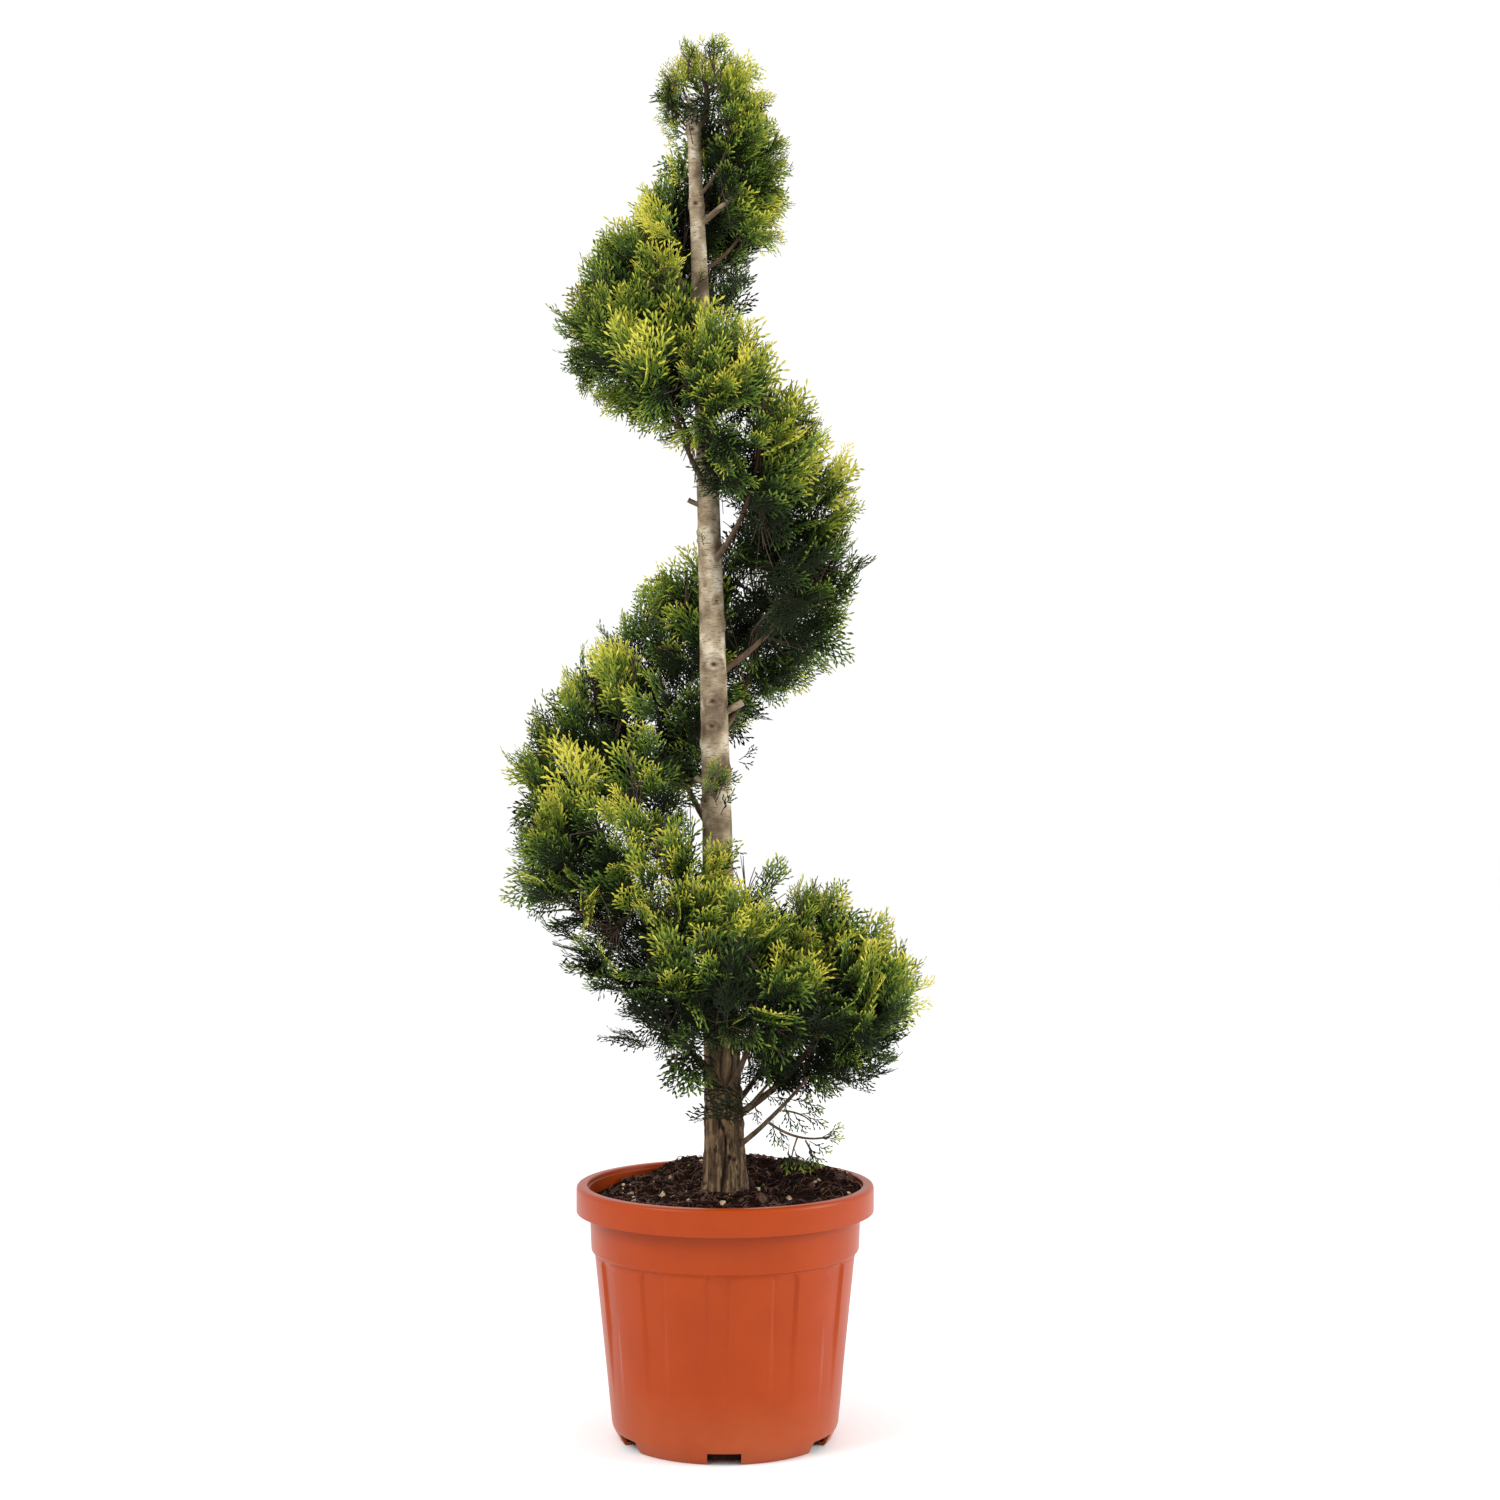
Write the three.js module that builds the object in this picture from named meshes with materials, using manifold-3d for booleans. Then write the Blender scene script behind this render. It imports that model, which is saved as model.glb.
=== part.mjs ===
// A conifer clipped to a rising spiral, in a fluted plastic nursery pot. Millimetres, +Z up.
// The origin is the middle of the pot's underside, and the front of the plant faces -Y.
//
// The pot holds soil, the trunk stands on the soil, and boughs leave the trunk in a spiral.
// Each bough carries one mass of foliage: a stem, twigs that branch from it, and toothed
// sprays on the twigs, fused round a small core. The clipped ribbon of foliage turns a little
// over twice round the trunk: from the right, across the front, up the left and behind.

import * as THREE from 'three';
import { mergeVertices } from 'three/addons/utils/BufferGeometryUtils.js';
import Module from 'manifold-3d';

const wasm = await Module();
wasm.setup();

// Sizes of the pot
const POT_HEIGHT = 255;
const FOOT_RADIUS = 106;
const BODY_FOOT_RADIUS = 114;
const BODY_TOP_RADIUS = 131;
const BAND_FOOT_RADIUS = 135;
const BAND_TOP_RADIUS = 136.5;
const LIP_RADIUS = 150;
const LIP_TOP_RADIUS = 145.5;
const LIP_INNER_RADIUS = 139;
const FOOT_CHAMFER = 15;
const BODY_TOP = 181;
const FLUTE_END = 187;
const BAND_FOOT = 190;
const LIP_FOOT = 228;
const LIP_ROUND = 4.5;
const WALL = 2.6;
const FLOOR = 3;
const FLUTES = 12;
const FLUTE_DEPTH = 3;
const FLUTE_EDGES = [0, 2.2, 8.2, 10.4, 20.2];   // degrees: edge, floor, floor, edge, panel
const FIRST_FLUTE = -8.7;                  // degrees from the front to the first flute's edge
const NOTCHES = 6;
const NOTCH_WIDTH = 33;
const NOTCH_HEIGHT = 11;
const NOTCH_INNER_RADIUS = 90;
const NOTCH_OUTER_RADIUS = 138;

// Sizes of the soil and the trunk
const CLEAR = 0.3;                         // the gap that is kept between touching pieces
const GROUND = 249;                        // the level of the soil at the trunk
const SOIL_EDGE = 236;
const SOIL_SLOPE = [[112, 5], [86, 8], [58, 11]];   // radius, and height above the edge
const SOIL_SEAT_RADIUS = 30;
const SOIL_LUMPS = 3;
const SOIL_SIDES = 24;
const TRUNK_TOP = 1350;
const TRUNK_FOOT_RADIUS = 18.8;
const TRUNK_TOP_RADIUS = 5.3;
const TRUNK_TAPER = 0.83;
const TRUNK_SIDES = 12;
const TRUNK_RINGS = 24;
const FLARE = 3.2;
const FLARE_HEIGHT = 38;
const ROOT_LOBES = 5;
const ROOT_LOBE_DEPTH = 0.11;              // of the radius
const ROOT_LOBE_HEIGHT = 50;
const RIBS = 3;
const RIB_DEPTH = 0.05;                    // of the radius
const RIB_TWIST = 7;                       // radians from the foot to the top
const LEAN_START = -2;
const LEAN = -32;
const LEAN_POWER = 1.6;

// The ribbon of foliage, at every sixth of a turn from the back right (bearing -60)
const FIRST_BEARING = -60;
const BEARING_STEP = 60;
const MIDDLES = [440, 458, 478, 505, 655, 762, 840, 920, 1025,
  1092, 1135, 1200, 1264, 1300, 1345, 1356, 1354, 1354];
const HALF_DEPTHS = [100, 128, 118, 150, 168, 148, 128, 146, 128,
  116, 122, 112, 130, 118, 64, 44, 36, 36];
const REACHES = [160, 212, 198, 200, 228, 204, 166, 162, 164,
  158, 150, 128, 100, 100, 78, 46, 30, 28];
const CONE_SLOPE = 0.14;                   // the plant was a cone before the spiral was cut
const OUT_POWER = 1.9;                     // draws the top and the underside in to the trunk
const RISE_POWER = 1.2;                    // points the ribbon's outer edge
const INNER_SHARE = 0.05;                  // of the reach, from the bark to the innermost foliage

// The masses, and the boughs that carry them
const RIBBON_START = -75;
const RIBBON_END = 905;
const MASSES = 17;
const WEDGE = (RIBBON_END - RIBBON_START) / MASSES;
const WEDGE_MARGIN = 0.5;
const BARK_MARGIN = 3;
const BOUGH_RISE = 0.75;
const BOUGH_SHARE = 0.33;                  // of the reach, where a bough enters its mass
const BOUGH_DROP = 0.75;                   // of the half depth, below the ribbon's middle
const BOUGH_BEND = { out: 0.55, down: 0.62 };   // of the way back to the trunk
const BOUGH_THINNEST = 1.4;
const BOUGH_THICKNESS = 0.026;             // of the reach
const BOUGH_TAPER = 0.72;
const STEM_END = { angle: 30, fullness: 0.62 };
const STEM_BEND = 0.45;
const STEM_TAPER = 0.4;
const CORE_FULLNESS = 0.68;
const CORE_SPREAD = 0.49;                  // of the wedge, to each side
const CORE_LUMPS = 0.14;
const CORE_ROUNDING = 0.4;                 // a lower power gives the core blunter ends

// Growth inside a mass
const FEWEST_TWIGS = 3;
const TWIGS_PER_METRE = 13;                // of the reach
const TWIG_ROOTS = [0.15, 0.9];            // of the stem's length
const TWIG_RADIUS = 2.2;
const TWIG_TAPER = 0.6;
const TWIG_SPREAD = 0.66;                  // of the wedge
const TWIG_FULLNESS = 0.66;
const LOWEST_ANGLE = -140;                 // the ribbon's inner face, towards the trunk, stays bare
const HIGHEST_ANGLE = 165;
const FIRST_SHARE = 0.4;                   // the first twig of a mass points outwards
const ANGLE_SCATTER = 0.2;
const GOLDEN = 0.618034;
const SPRAYS_PER_TWIG = 3;
const SPRAY_SPREAD = 0.8;                  // of the wedge
const SPRAY_ASIDE = [0.3, 0.55];
const SPRAY_FAN = 70;                      // degrees of the ribbon's section
const SPRAY_FIRST_ROOT = 0.97;             // of the twig's length
const SPRAY_ROOT_STEP = 0.14;
const RAGGED = 0.22;                       // how far the longest sprays hang below the clipped face
const SPRAY_OUTLINE = [[0, -0.1], [0.6, -0.5], [0.64, -0.22], [1, 0], [0.64, 0.22], [0.6, 0.5], [0, 0.1]];
const SPRAY_CREST = 0.45;                  // of its length, where a spray is thickest
const SPRAY_WIDTH = 0.7;                   // of its length
const SPRAY_THICKNESS = 0.055;             // of its length
const SEED = 7;

// The leader, which forks from the trunk just under its cut top, and its sprig
const LEADER_ROOT = [-31, 0, 1318];
const LEADER_BEND = [-13, 2, 1330];
const LEADER_TIP = [-21, 2, 1368];
const LEADER_RADII = [3.6, 2.4];
const LEADER_ROOM = 12;                    // the radius round it that the masses leave free
const SPRIG_HEIGHT = 34;
const SPRIG_LEAN = -2;
const SPRIG_RADII = [2.2, 1];
const SPRIG_SPRAYS = 4;
const SPRIG_FIRST_ROOT = 0.25;             // of its height
const SPRIG_ROOT_STEP = 0.15;
const SPRIG_SPREAD = 9;
const MERGE_DISTANCE = 1e-3;

const BARK = new THREE.MeshStandardMaterial({ name: 'bark', color: 0x8f8371, roughness: 0.9 });
const FOLIAGE = new THREE.MeshStandardMaterial({ name: 'foliage', color: 0x54741f, roughness: 0.7 });
const PLASTIC = new THREE.MeshStandardMaterial({ name: 'orange plastic', color: 0xc4552b, roughness: 0.45 });
const SOIL = new THREE.MeshStandardMaterial({ name: 'potting soil', color: 0x2b1a12, roughness: 1 });

const radians = (degrees) => degrees * Math.PI / 180;
const mix = (a, b, share) => a + (b - a) * share;

// A random sequence that is the same each time: the minimal standard generator.
function seeded(seed) {
  let state = seed * 48271 % 2147483647;
  return () => {
    state = state * 16807 % 2147483647;
    return state / 2147483647;
  };
}

function toSolid(geometry) {
  const plain = geometry.clone();
  plain.deleteAttribute('normal');
  plain.deleteAttribute('uv');
  const merged = mergeVertices(plain, MERGE_DISTANCE);
  return new wasm.Manifold(new wasm.Mesh({
    numProp: 3,
    vertProperties: new Float32Array(merged.attributes.position.array),
    triVerts: new Uint32Array(merged.index.array),
  }));
}

function toGeometry(solid) {
  const mesh = solid.getMesh();
  const geometry = new THREE.BufferGeometry();
  geometry.setAttribute('position', new THREE.BufferAttribute(mesh.vertProperties.slice(), 3));
  geometry.setIndex(new THREE.BufferAttribute(mesh.triVerts.slice(), 1));
  geometry.computeVertexNormals();
  return geometry;
}

// Drops loose scraps and fills sealed hollows, once the nearest vertices are merged.
function largestBody(solid) {
  const bodies = toSolid(toGeometry(solid)).decompose();
  const largest = bodies.reduce((best, body) => (body.volume() > best.volume() ? body : best));
  return bodies.length > 1 ? largestBody(largest) : largest;
}

// Whether every edge is shared by exactly two faces, once the nearest vertices are merged.
function isClosed(solid) {
  const plain = toGeometry(solid);
  plain.deleteAttribute('normal');
  const { array } = mergeVertices(plain, MERGE_DISTANCE).index;
  const uses = new Map();
  for (let i = 0; i < array.length; i += 3) {
    const corners = [array[i], array[i + 1], array[i + 2]];
    if (new Set(corners).size < corners.length) continue;
    corners.forEach((corner, side) => {
      const edge = [corner, corners[(side + 1) % 3]].sort((a, b) => a - b).join();
      uses.set(edge, (uses.get(edge) ?? 0) + 1);
    });
  }
  return [...uses.values()].every((count) => count === 2);
}

// Joins the parts one by one and cuts the joined body clear of the cutters. A part that
// would leave a pinched edge behind is skipped.
function fuse(parts, cutters) {
  let joined = parts[0];
  let finished = null;
  for (const part of parts) {
    const next = joined.add(part);
    const cut = largestBody(cutters.reduce((solid, cutter) => solid.subtract(cutter), next));
    if (isClosed(cut)) [joined, finished] = [next, cut];
  }
  return finished;
}

// Moves every vertex of a geometry by a function that changes the vector it is given.
function reshape(geometry, move) {
  const position = geometry.attributes.position;
  const vertex = new THREE.Vector3();
  for (let i = 0; i < position.count; i++) {
    vertex.fromBufferAttribute(position, i);
    move(vertex);
    position.setXYZ(i, vertex.x, vertex.y, vertex.z);
  }
  return geometry;
}

// A closed limb along a curve. radiusAt takes the share of the length and the turn round it.
function limb(curve, radiusAt, sides, rings) {
  const ahead = curve.getPoint(1).sub(curve.getPoint(0)).normalize();
  const side = new THREE.Vector3(ahead.z, ahead.x, ahead.y).cross(ahead).normalize();
  return reshape(new THREE.CylinderGeometry(1, 1, 1, sides, rings), (vertex) => {
    const share = vertex.y + 0.5;
    const turn = Math.atan2(vertex.z, vertex.x);
    const radius = Math.hypot(vertex.x, vertex.z) * radiusAt(share, turn);
    const tangent = curve.getTangent(share);
    const u = side.clone().addScaledVector(tangent, -side.dot(tangent)).normalize();
    const v = u.clone().cross(tangent);
    vertex.copy(curve.getPoint(share))
      .addScaledVector(u, radius * Math.cos(turn))
      .addScaledVector(v, radius * Math.sin(turn));
  });
}

// The trunk leans a little to the left as it rises, and tapers.
const trunkShare = (z) => THREE.MathUtils.clamp((z - GROUND) / (TRUNK_TOP - GROUND), 0, 1);
const trunkX = (z) => LEAN_START + LEAN * trunkShare(z) ** LEAN_POWER;
const trunkRadius = (z) => mix(TRUNK_TOP_RADIUS, TRUNK_FOOT_RADIUS, (1 - trunkShare(z)) ** TRUNK_TAPER)
  + FLARE * Math.exp((GROUND - z) / FLARE_HEIGHT);

class TrunkLine extends THREE.Curve {
  getPoint(share) {
    const z = mix(GROUND + CLEAR, TRUNK_TOP, share);
    return new THREE.Vector3(trunkX(z), 0, z);
  }
}

function trunkGeometry(extra) {
  return limb(new TrunkLine(), (share, turn) => {
    const z = mix(GROUND, TRUNK_TOP, share);
    const lobe = ROOT_LOBE_DEPTH * Math.cos(ROOT_LOBES * turn) * Math.exp((GROUND - z) / ROOT_LOBE_HEIGHT);
    const rib = RIB_DEPTH * Math.cos(RIBS * turn + RIB_TWIST * share);
    return trunkRadius(z) * (1 + lobe + rib) + extra;
  }, TRUNK_SIDES, TRUNK_RINGS);
}

// A point at a bearing from the trunk: 0 is right and 90 is the front, the way the ribbon climbs.
function around(bearing, distance, height) {
  const angle = radians(bearing);
  return new THREE.Vector3(
    trunkX(height) + distance * Math.cos(angle), -distance * Math.sin(angle), height);
}

// A size of the ribbon at a bearing, from its list.
function along(sizes, bearing) {
  const last = sizes.length - 1;
  const place = THREE.MathUtils.clamp((bearing - FIRST_BEARING) / BEARING_STEP, 0, last);
  const step = Math.min(Math.floor(place), last - 1);
  return mix(sizes[step], sizes[step + 1], place - step);
}

// A point of the ribbon's section, which is broad at the trunk and pointed outside: angle 0 is
// outwards, 90 is up, and fullness 1 is the clipped face.
function ribbonPoint(bearing, angle, fullness) {
  const reach = along(REACHES, bearing);
  const middle = along(MIDDLES, bearing);
  const inner = trunkRadius(middle) + INNER_SHARE * reach;
  const out = Math.cos(radians(angle)) * fullness;
  const up = Math.sin(radians(angle));
  const rise = Math.sign(up) * Math.abs(up) ** RISE_POWER * fullness * along(HALF_DEPTHS, bearing);
  const distance = mix(inner, reach, (0.5 + 0.5 * out) ** OUT_POWER);
  return around(bearing, distance - CONE_SLOPE * rise * distance / reach, middle + rise);
}

// The route from the trunk into a mass: first the bough, then the stem inside the mass.
function boughLine(bearing) {
  const reach = along(REACHES, bearing);
  const depth = along(HALF_DEPTHS, bearing);
  const entry = reach * BOUGH_SHARE;
  const height = along(MIDDLES, bearing) - depth * BOUGH_DROP;
  const root = around(bearing, 0, height - entry * BOUGH_RISE);
  const bend = around(bearing, entry * BOUGH_BEND.out, height - entry * BOUGH_RISE * BOUGH_BEND.down);
  const tip = around(bearing, entry, height);
  return new THREE.QuadraticBezierCurve3(root, bend, tip);
}

function stemLine(bearing) {
  const bough = boughLine(bearing);
  const start = bough.getPoint(1).addScaledVector(bough.getTangent(1), CLEAR);
  const end = ribbonPoint(bearing, STEM_END.angle, STEM_END.fullness);
  const bend = start.clone().addScaledVector(bough.getTangent(1), start.distanceTo(end) * STEM_BEND);
  return new THREE.QuadraticBezierCurve3(start, bend, end);
}

const boughRadius = (bearing) => BOUGH_THINNEST + BOUGH_THICKNESS * along(REACHES, bearing);

// The growth rule. It deals the twigs evenly over the clipped face of one mass, starts each
// on the stem behind its share of the face, and ends every spray at that face.
function growthOf(bearing, seed) {
  const random = seeded(seed);
  const stem = stemLine(bearing);
  const twigs = [];
  const sprays = [];
  const count = Math.round(FEWEST_TWIGS + TWIGS_PER_METRE * along(REACHES, bearing) / 1000);
  for (let i = 0; i < count; i++) {
    const place = (i + 0.5) / count - 0.5;
    const dealt = (FIRST_SHARE + i * GOLDEN + ANGLE_SCATTER * random()) % 1;
    const angle = mix(LOWEST_ANGLE, HIGHEST_ANGLE, dealt);
    const root = stem.getPoint(mix(...TWIG_ROOTS, 0.5 + 0.5 * Math.cos(radians(angle))));
    const tip = ribbonPoint(bearing + WEDGE * TWIG_SPREAD * place, angle, TWIG_FULLNESS);
    twigs.push({ root, tip });
    for (let j = 0; j < SPRAYS_PER_TWIG; j++) {
      const aside = j === 0 ? 0 : (j % 2 - 0.5) * mix(...SPRAY_ASIDE, random());
      const above = j === 0 ? 0 : (random() - 0.5) * SPRAY_FAN;
      const hanging = 1 + RAGGED * random() * Math.max(0, -Math.sin(radians(angle + above)));
      const turned = bearing + WEDGE * SPRAY_SPREAD * (place + aside);
      const facing = new THREE.Vector3(random() - 0.5, random() - 0.5, random() - 0.5);
      sprays.push({
        root: root.clone().lerp(tip, SPRAY_FIRST_ROOT - SPRAY_ROOT_STEP * j),
        tip: ribbonPoint(turned, angle + above, hanging),
        facing,
      });
    }
  }
  return { stem, twigs, sprays };
}

// A flat toothed spray: a double pyramid whose waist is the spray's outline.
function sprayGeometry({ root, tip, facing }) {
  const length = root.distanceTo(tip);
  const direction = tip.clone().sub(root).normalize();
  const across = facing.clone().cross(direction).normalize();
  const up = direction.clone().cross(across).normalize();
  const count = SPRAY_OUTLINE.length;
  return reshape(new THREE.SphereGeometry(1, count, 2), (vertex) => {
    const pole = Math.sign(Math.round(vertex.y));
    const corner = Math.round((Math.atan2(vertex.z, -vertex.x) / (2 * Math.PI) + 1) * count) % count;
    const [ahead, wide] = pole === 0 ? SPRAY_OUTLINE[corner] : [SPRAY_CREST, 0];
    vertex.copy(root)
      .addScaledVector(direction, ahead * length)
      .addScaledVector(across, wide * length * SPRAY_WIDTH)
      .addScaledVector(up, pole * length * SPRAY_THICKNESS / 2);
  });
}

// How far a point lies inside the wedge of space that a mass keeps to.
function roomInWedge(point, bearing) {
  const beside = point.x - trunkX(point.z);
  const angle = THREE.MathUtils.radToDeg(Math.atan2(-point.y, beside));
  const away = Math.abs(THREE.MathUtils.euclideanModulo(angle - bearing + 180, 360) - 180);
  return Math.hypot(point.y, beside) * Math.sin(radians(Math.min(90, WEDGE / 2 - away)));
}

function isFree(point, bearing) {
  const fromTrunk = Math.hypot(point.y, point.x - trunkX(point.z));
  const fromLeader = Math.hypot(point.x - LEADER_TIP[0], point.y - LEADER_TIP[1]);
  return fromTrunk > trunkRadius(point.z) + BARK_MARGIN
    && (point.z < LEADER_BEND[2] || fromLeader > LEADER_ROOM)
    && roomInWedge(point, bearing) > WEDGE_MARGIN;
}

function keepsToItsSpace(geometry, bearing) {
  const position = geometry.attributes.position;
  const point = new THREE.Vector3();
  for (let i = 0; i < position.count; i++) {
    point.fromBufferAttribute(position, i);
    if (!isFree(point, bearing)) return false;
  }
  return true;
}

// The dense middle of a mass, bent to follow the ribbon.
function coreGeometry(bearing) {
  return reshape(new THREE.IcosahedronGeometry(1, 1), (vertex) => {
    const turned = bearing + WEDGE * CORE_SPREAD * vertex.x;
    const angle = THREE.MathUtils.radToDeg(Math.atan2(vertex.z, vertex.y));
    const lumps = 1 + CORE_LUMPS * Math.sin(5 * vertex.x + 4 * vertex.y + 7 * vertex.z + bearing);
    const across = Math.hypot(vertex.y, vertex.z) ** CORE_ROUNDING;
    vertex.copy(ribbonPoint(turned, angle, CORE_FULLNESS * lumps * across));
  });
}

function boughSolid(bearing, extra) {
  const radiusAt = (share) => boughRadius(bearing) * mix(1, BOUGH_TAPER, share) + extra;
  return toSolid(limb(boughLine(bearing), radiusAt, 6, 3));
}

function massSolid(bearing, seed, limbs) {
  const { stem, twigs, sprays } = growthOf(bearing, seed);
  const stemRadiusAt = (share) => boughRadius(bearing) * BOUGH_TAPER * mix(1, STEM_TAPER, share);
  const twigRadiusAt = (share) => TWIG_RADIUS * mix(1, TWIG_TAPER, share);
  const grown = [
    ...twigs.map(({ root, tip }) => limb(new THREE.LineCurve3(root, tip), twigRadiusAt, 3, 1)),
    ...sprays.map(sprayGeometry),
  ];
  const kept = grown.filter((geometry) => keepsToItsSpace(geometry, bearing));
  const parts = [coreGeometry(bearing), limb(stem, stemRadiusAt, 5, 3), ...kept];
  return fuse(parts.map(toSolid), limbs);
}

// A turned solid from an outline of radii and heights. Its axis is still Y.
function lathe(outline, segments) {
  const points = outline.map(([radius, height]) => new THREE.Vector2(radius, height));
  return new THREE.LatheGeometry(points, segments);
}

// The pot: a turned profile, with flutes pressed into its wall and notches cut at its foot.
function potSolid() {
  const outline = [
    [0, 0], [FOOT_RADIUS, 0], [BODY_FOOT_RADIUS, FOOT_CHAMFER], [BODY_TOP_RADIUS, BODY_TOP],
    [BODY_TOP_RADIUS, FLUTE_END], [BAND_FOOT_RADIUS, BAND_FOOT], [BAND_TOP_RADIUS, LIP_FOOT],
    [LIP_RADIUS, LIP_FOOT], [LIP_RADIUS, POT_HEIGHT - LIP_ROUND], [LIP_TOP_RADIUS, POT_HEIGHT],
    [LIP_INNER_RADIUS, POT_HEIGHT], [BAND_FOOT_RADIUS - WALL, BAND_FOOT],
    [BODY_TOP_RADIUS - WALL, BODY_TOP], [BODY_FOOT_RADIUS - WALL, FOOT_CHAMFER],
    [FOOT_RADIUS - WALL, FLOOR], [0, FLOOR],
  ];
  const period = 360 / FLUTES;
  const segments = FLUTES * FLUTE_EDGES.length;
  const turned = reshape(lathe(outline, segments), (vertex) => {
    const radius = Math.hypot(vertex.x, vertex.z);
    const index = Math.round((Math.atan2(vertex.x, vertex.z) / (2 * Math.PI) + 1) * segments) % segments;
    const corner = index % FLUTE_EDGES.length;
    const onBody = vertex.y >= FOOT_CHAMFER && vertex.y <= BODY_TOP;
    const pressed = onBody && (corner === 1 || corner === 2) ? FLUTE_DEPTH : 0;
    const flute = Math.floor(index / FLUTE_EDGES.length);
    const angle = radians(FIRST_FLUTE + period * flute + FLUTE_EDGES[corner]);
    vertex.set((radius - pressed) * Math.sin(angle), -(radius - pressed) * Math.cos(angle), vertex.y);
  });
  let pot = toSolid(turned);
  for (let i = 0; i < NOTCHES; i++) {
    const length = NOTCH_OUTER_RADIUS - NOTCH_INNER_RADIUS;
    const notch = new THREE.BoxGeometry(NOTCH_WIDTH, length, 2 * NOTCH_HEIGHT);
    notch.translate(0, -NOTCH_INNER_RADIUS - length / 2, 0);
    notch.rotateZ(2 * Math.PI * i / NOTCHES);
    pot = pot.subtract(toSolid(notch));
  }
  return pot;
}

// The soil fills the pot, clear of its wall, and is flat where the trunk stands on it.
function soilGeometry() {
  const gap = WALL + FLUTE_DEPTH + 2 * CLEAR;
  const foot = NOTCH_INNER_RADIUS - 2;
  const step = NOTCH_HEIGHT + 2;
  const rim = BAND_FOOT_RADIUS - WALL - 1;
  const outline = [
    [0, FLOOR + CLEAR], [foot, FLOOR + CLEAR], [foot, step], [FOOT_RADIUS - gap, step],
    [BODY_TOP_RADIUS - gap, BODY_TOP], [rim, BAND_FOOT + 2], [rim, SOIL_EDGE],
    ...SOIL_SLOPE.map(([radius, height]) => [radius, SOIL_EDGE + height]),
    [SOIL_SEAT_RADIUS, GROUND], [0, GROUND],
  ];
  return reshape(lathe(outline, SOIL_SIDES), (vertex) => {
    const free = vertex.y >= SOIL_EDGE && Math.hypot(vertex.x, vertex.z) > SOIL_SEAT_RADIUS + 1;
    const lump = Math.sin(vertex.x * 0.13 + 1) * Math.sin(vertex.z * 0.11) + 0.02 * vertex.x;
    vertex.set(vertex.x, -vertex.z, vertex.y + (free ? SOIL_LUMPS * lump : 0));
  });
}

function leaderSolid(extra) {
  const points = [LEADER_ROOT, LEADER_BEND, LEADER_TIP].map((place) => new THREE.Vector3(...place));
  const curve = new THREE.QuadraticBezierCurve3(...points);
  return toSolid(limb(curve, (share) => mix(...LEADER_RADII, share) + extra, 6, 4));
}

// The highest sprig: a short stem on the leader's tip with upright sprays round it.
function sprigSolid() {
  const foot = new THREE.Vector3(...LEADER_TIP).add(new THREE.Vector3(0, 0, CLEAR));
  const top = foot.clone().add(new THREE.Vector3(SPRIG_LEAN, 0, SPRIG_HEIGHT));
  const parts = [limb(new THREE.LineCurve3(foot, top), (share) => mix(...SPRIG_RADII, share), 5, 1)];
  for (let i = 0; i < SPRIG_SPRAYS; i++) {
    const turn = 2 * Math.PI * i * GOLDEN;
    const outwards = new THREE.Vector3(Math.cos(turn), Math.sin(turn), 0);
    parts.push(sprayGeometry({
      root: foot.clone().lerp(top, SPRIG_FIRST_ROOT + SPRIG_ROOT_STEP * i),
      tip: top.clone().addScaledVector(outwards, SPRIG_SPREAD),
      facing: new THREE.Vector3(Math.sin(turn), -Math.cos(turn), 0),
    }));
  }
  return fuse(parts.map(toSolid), []);
}

const plant = new THREE.Group();

function addPiece(name, geometry, material) {
  const mesh = new THREE.Mesh(geometry, material);
  mesh.name = name;
  plant.add(mesh);
}

const trunkCutter = toSolid(trunkGeometry(CLEAR));
const leaderCutter = leaderSolid(CLEAR);

addPiece('pot', toGeometry(potSolid()), PLASTIC);
addPiece('soil', soilGeometry(), SOIL);
addPiece('trunk', trunkGeometry(0), BARK);
addPiece('leader', toGeometry(largestBody(leaderSolid(0).subtract(trunkCutter))), BARK);
addPiece('foliage_tip', toGeometry(sprigSolid()), FOLIAGE);

for (let i = 0; i < MASSES; i++) {
  const bearing = RIBBON_START + WEDGE * (i + 0.5);
  const label = String(i + 1).padStart(2, '0');
  const bough = largestBody(boughSolid(bearing, 0).subtract(trunkCutter));
  const limbs = [trunkCutter, leaderCutter, boughSolid(bearing, CLEAR)];
  addPiece(`bough_${label}`, toGeometry(bough), BARK);
  addPiece(`foliage_${label}`, toGeometry(massSolid(bearing, SEED + i, limbs)), FOLIAGE);
}

export default plant;
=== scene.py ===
# %% [markdown]
# # A spiral topiary in its nursery pot
# The object is a small conifer that was clipped to a spiral: one ribbon of foliage climbs
# round a bare trunk. It stands in an orange plastic pot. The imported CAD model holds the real
# sizes. This lesson dresses it: each plain solid is replaced by a detailed mesh in the same place.

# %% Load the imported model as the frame
import math

import bmesh
import bpy
import numpy as np
from mathutils import Matrix, Vector, noise


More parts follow.
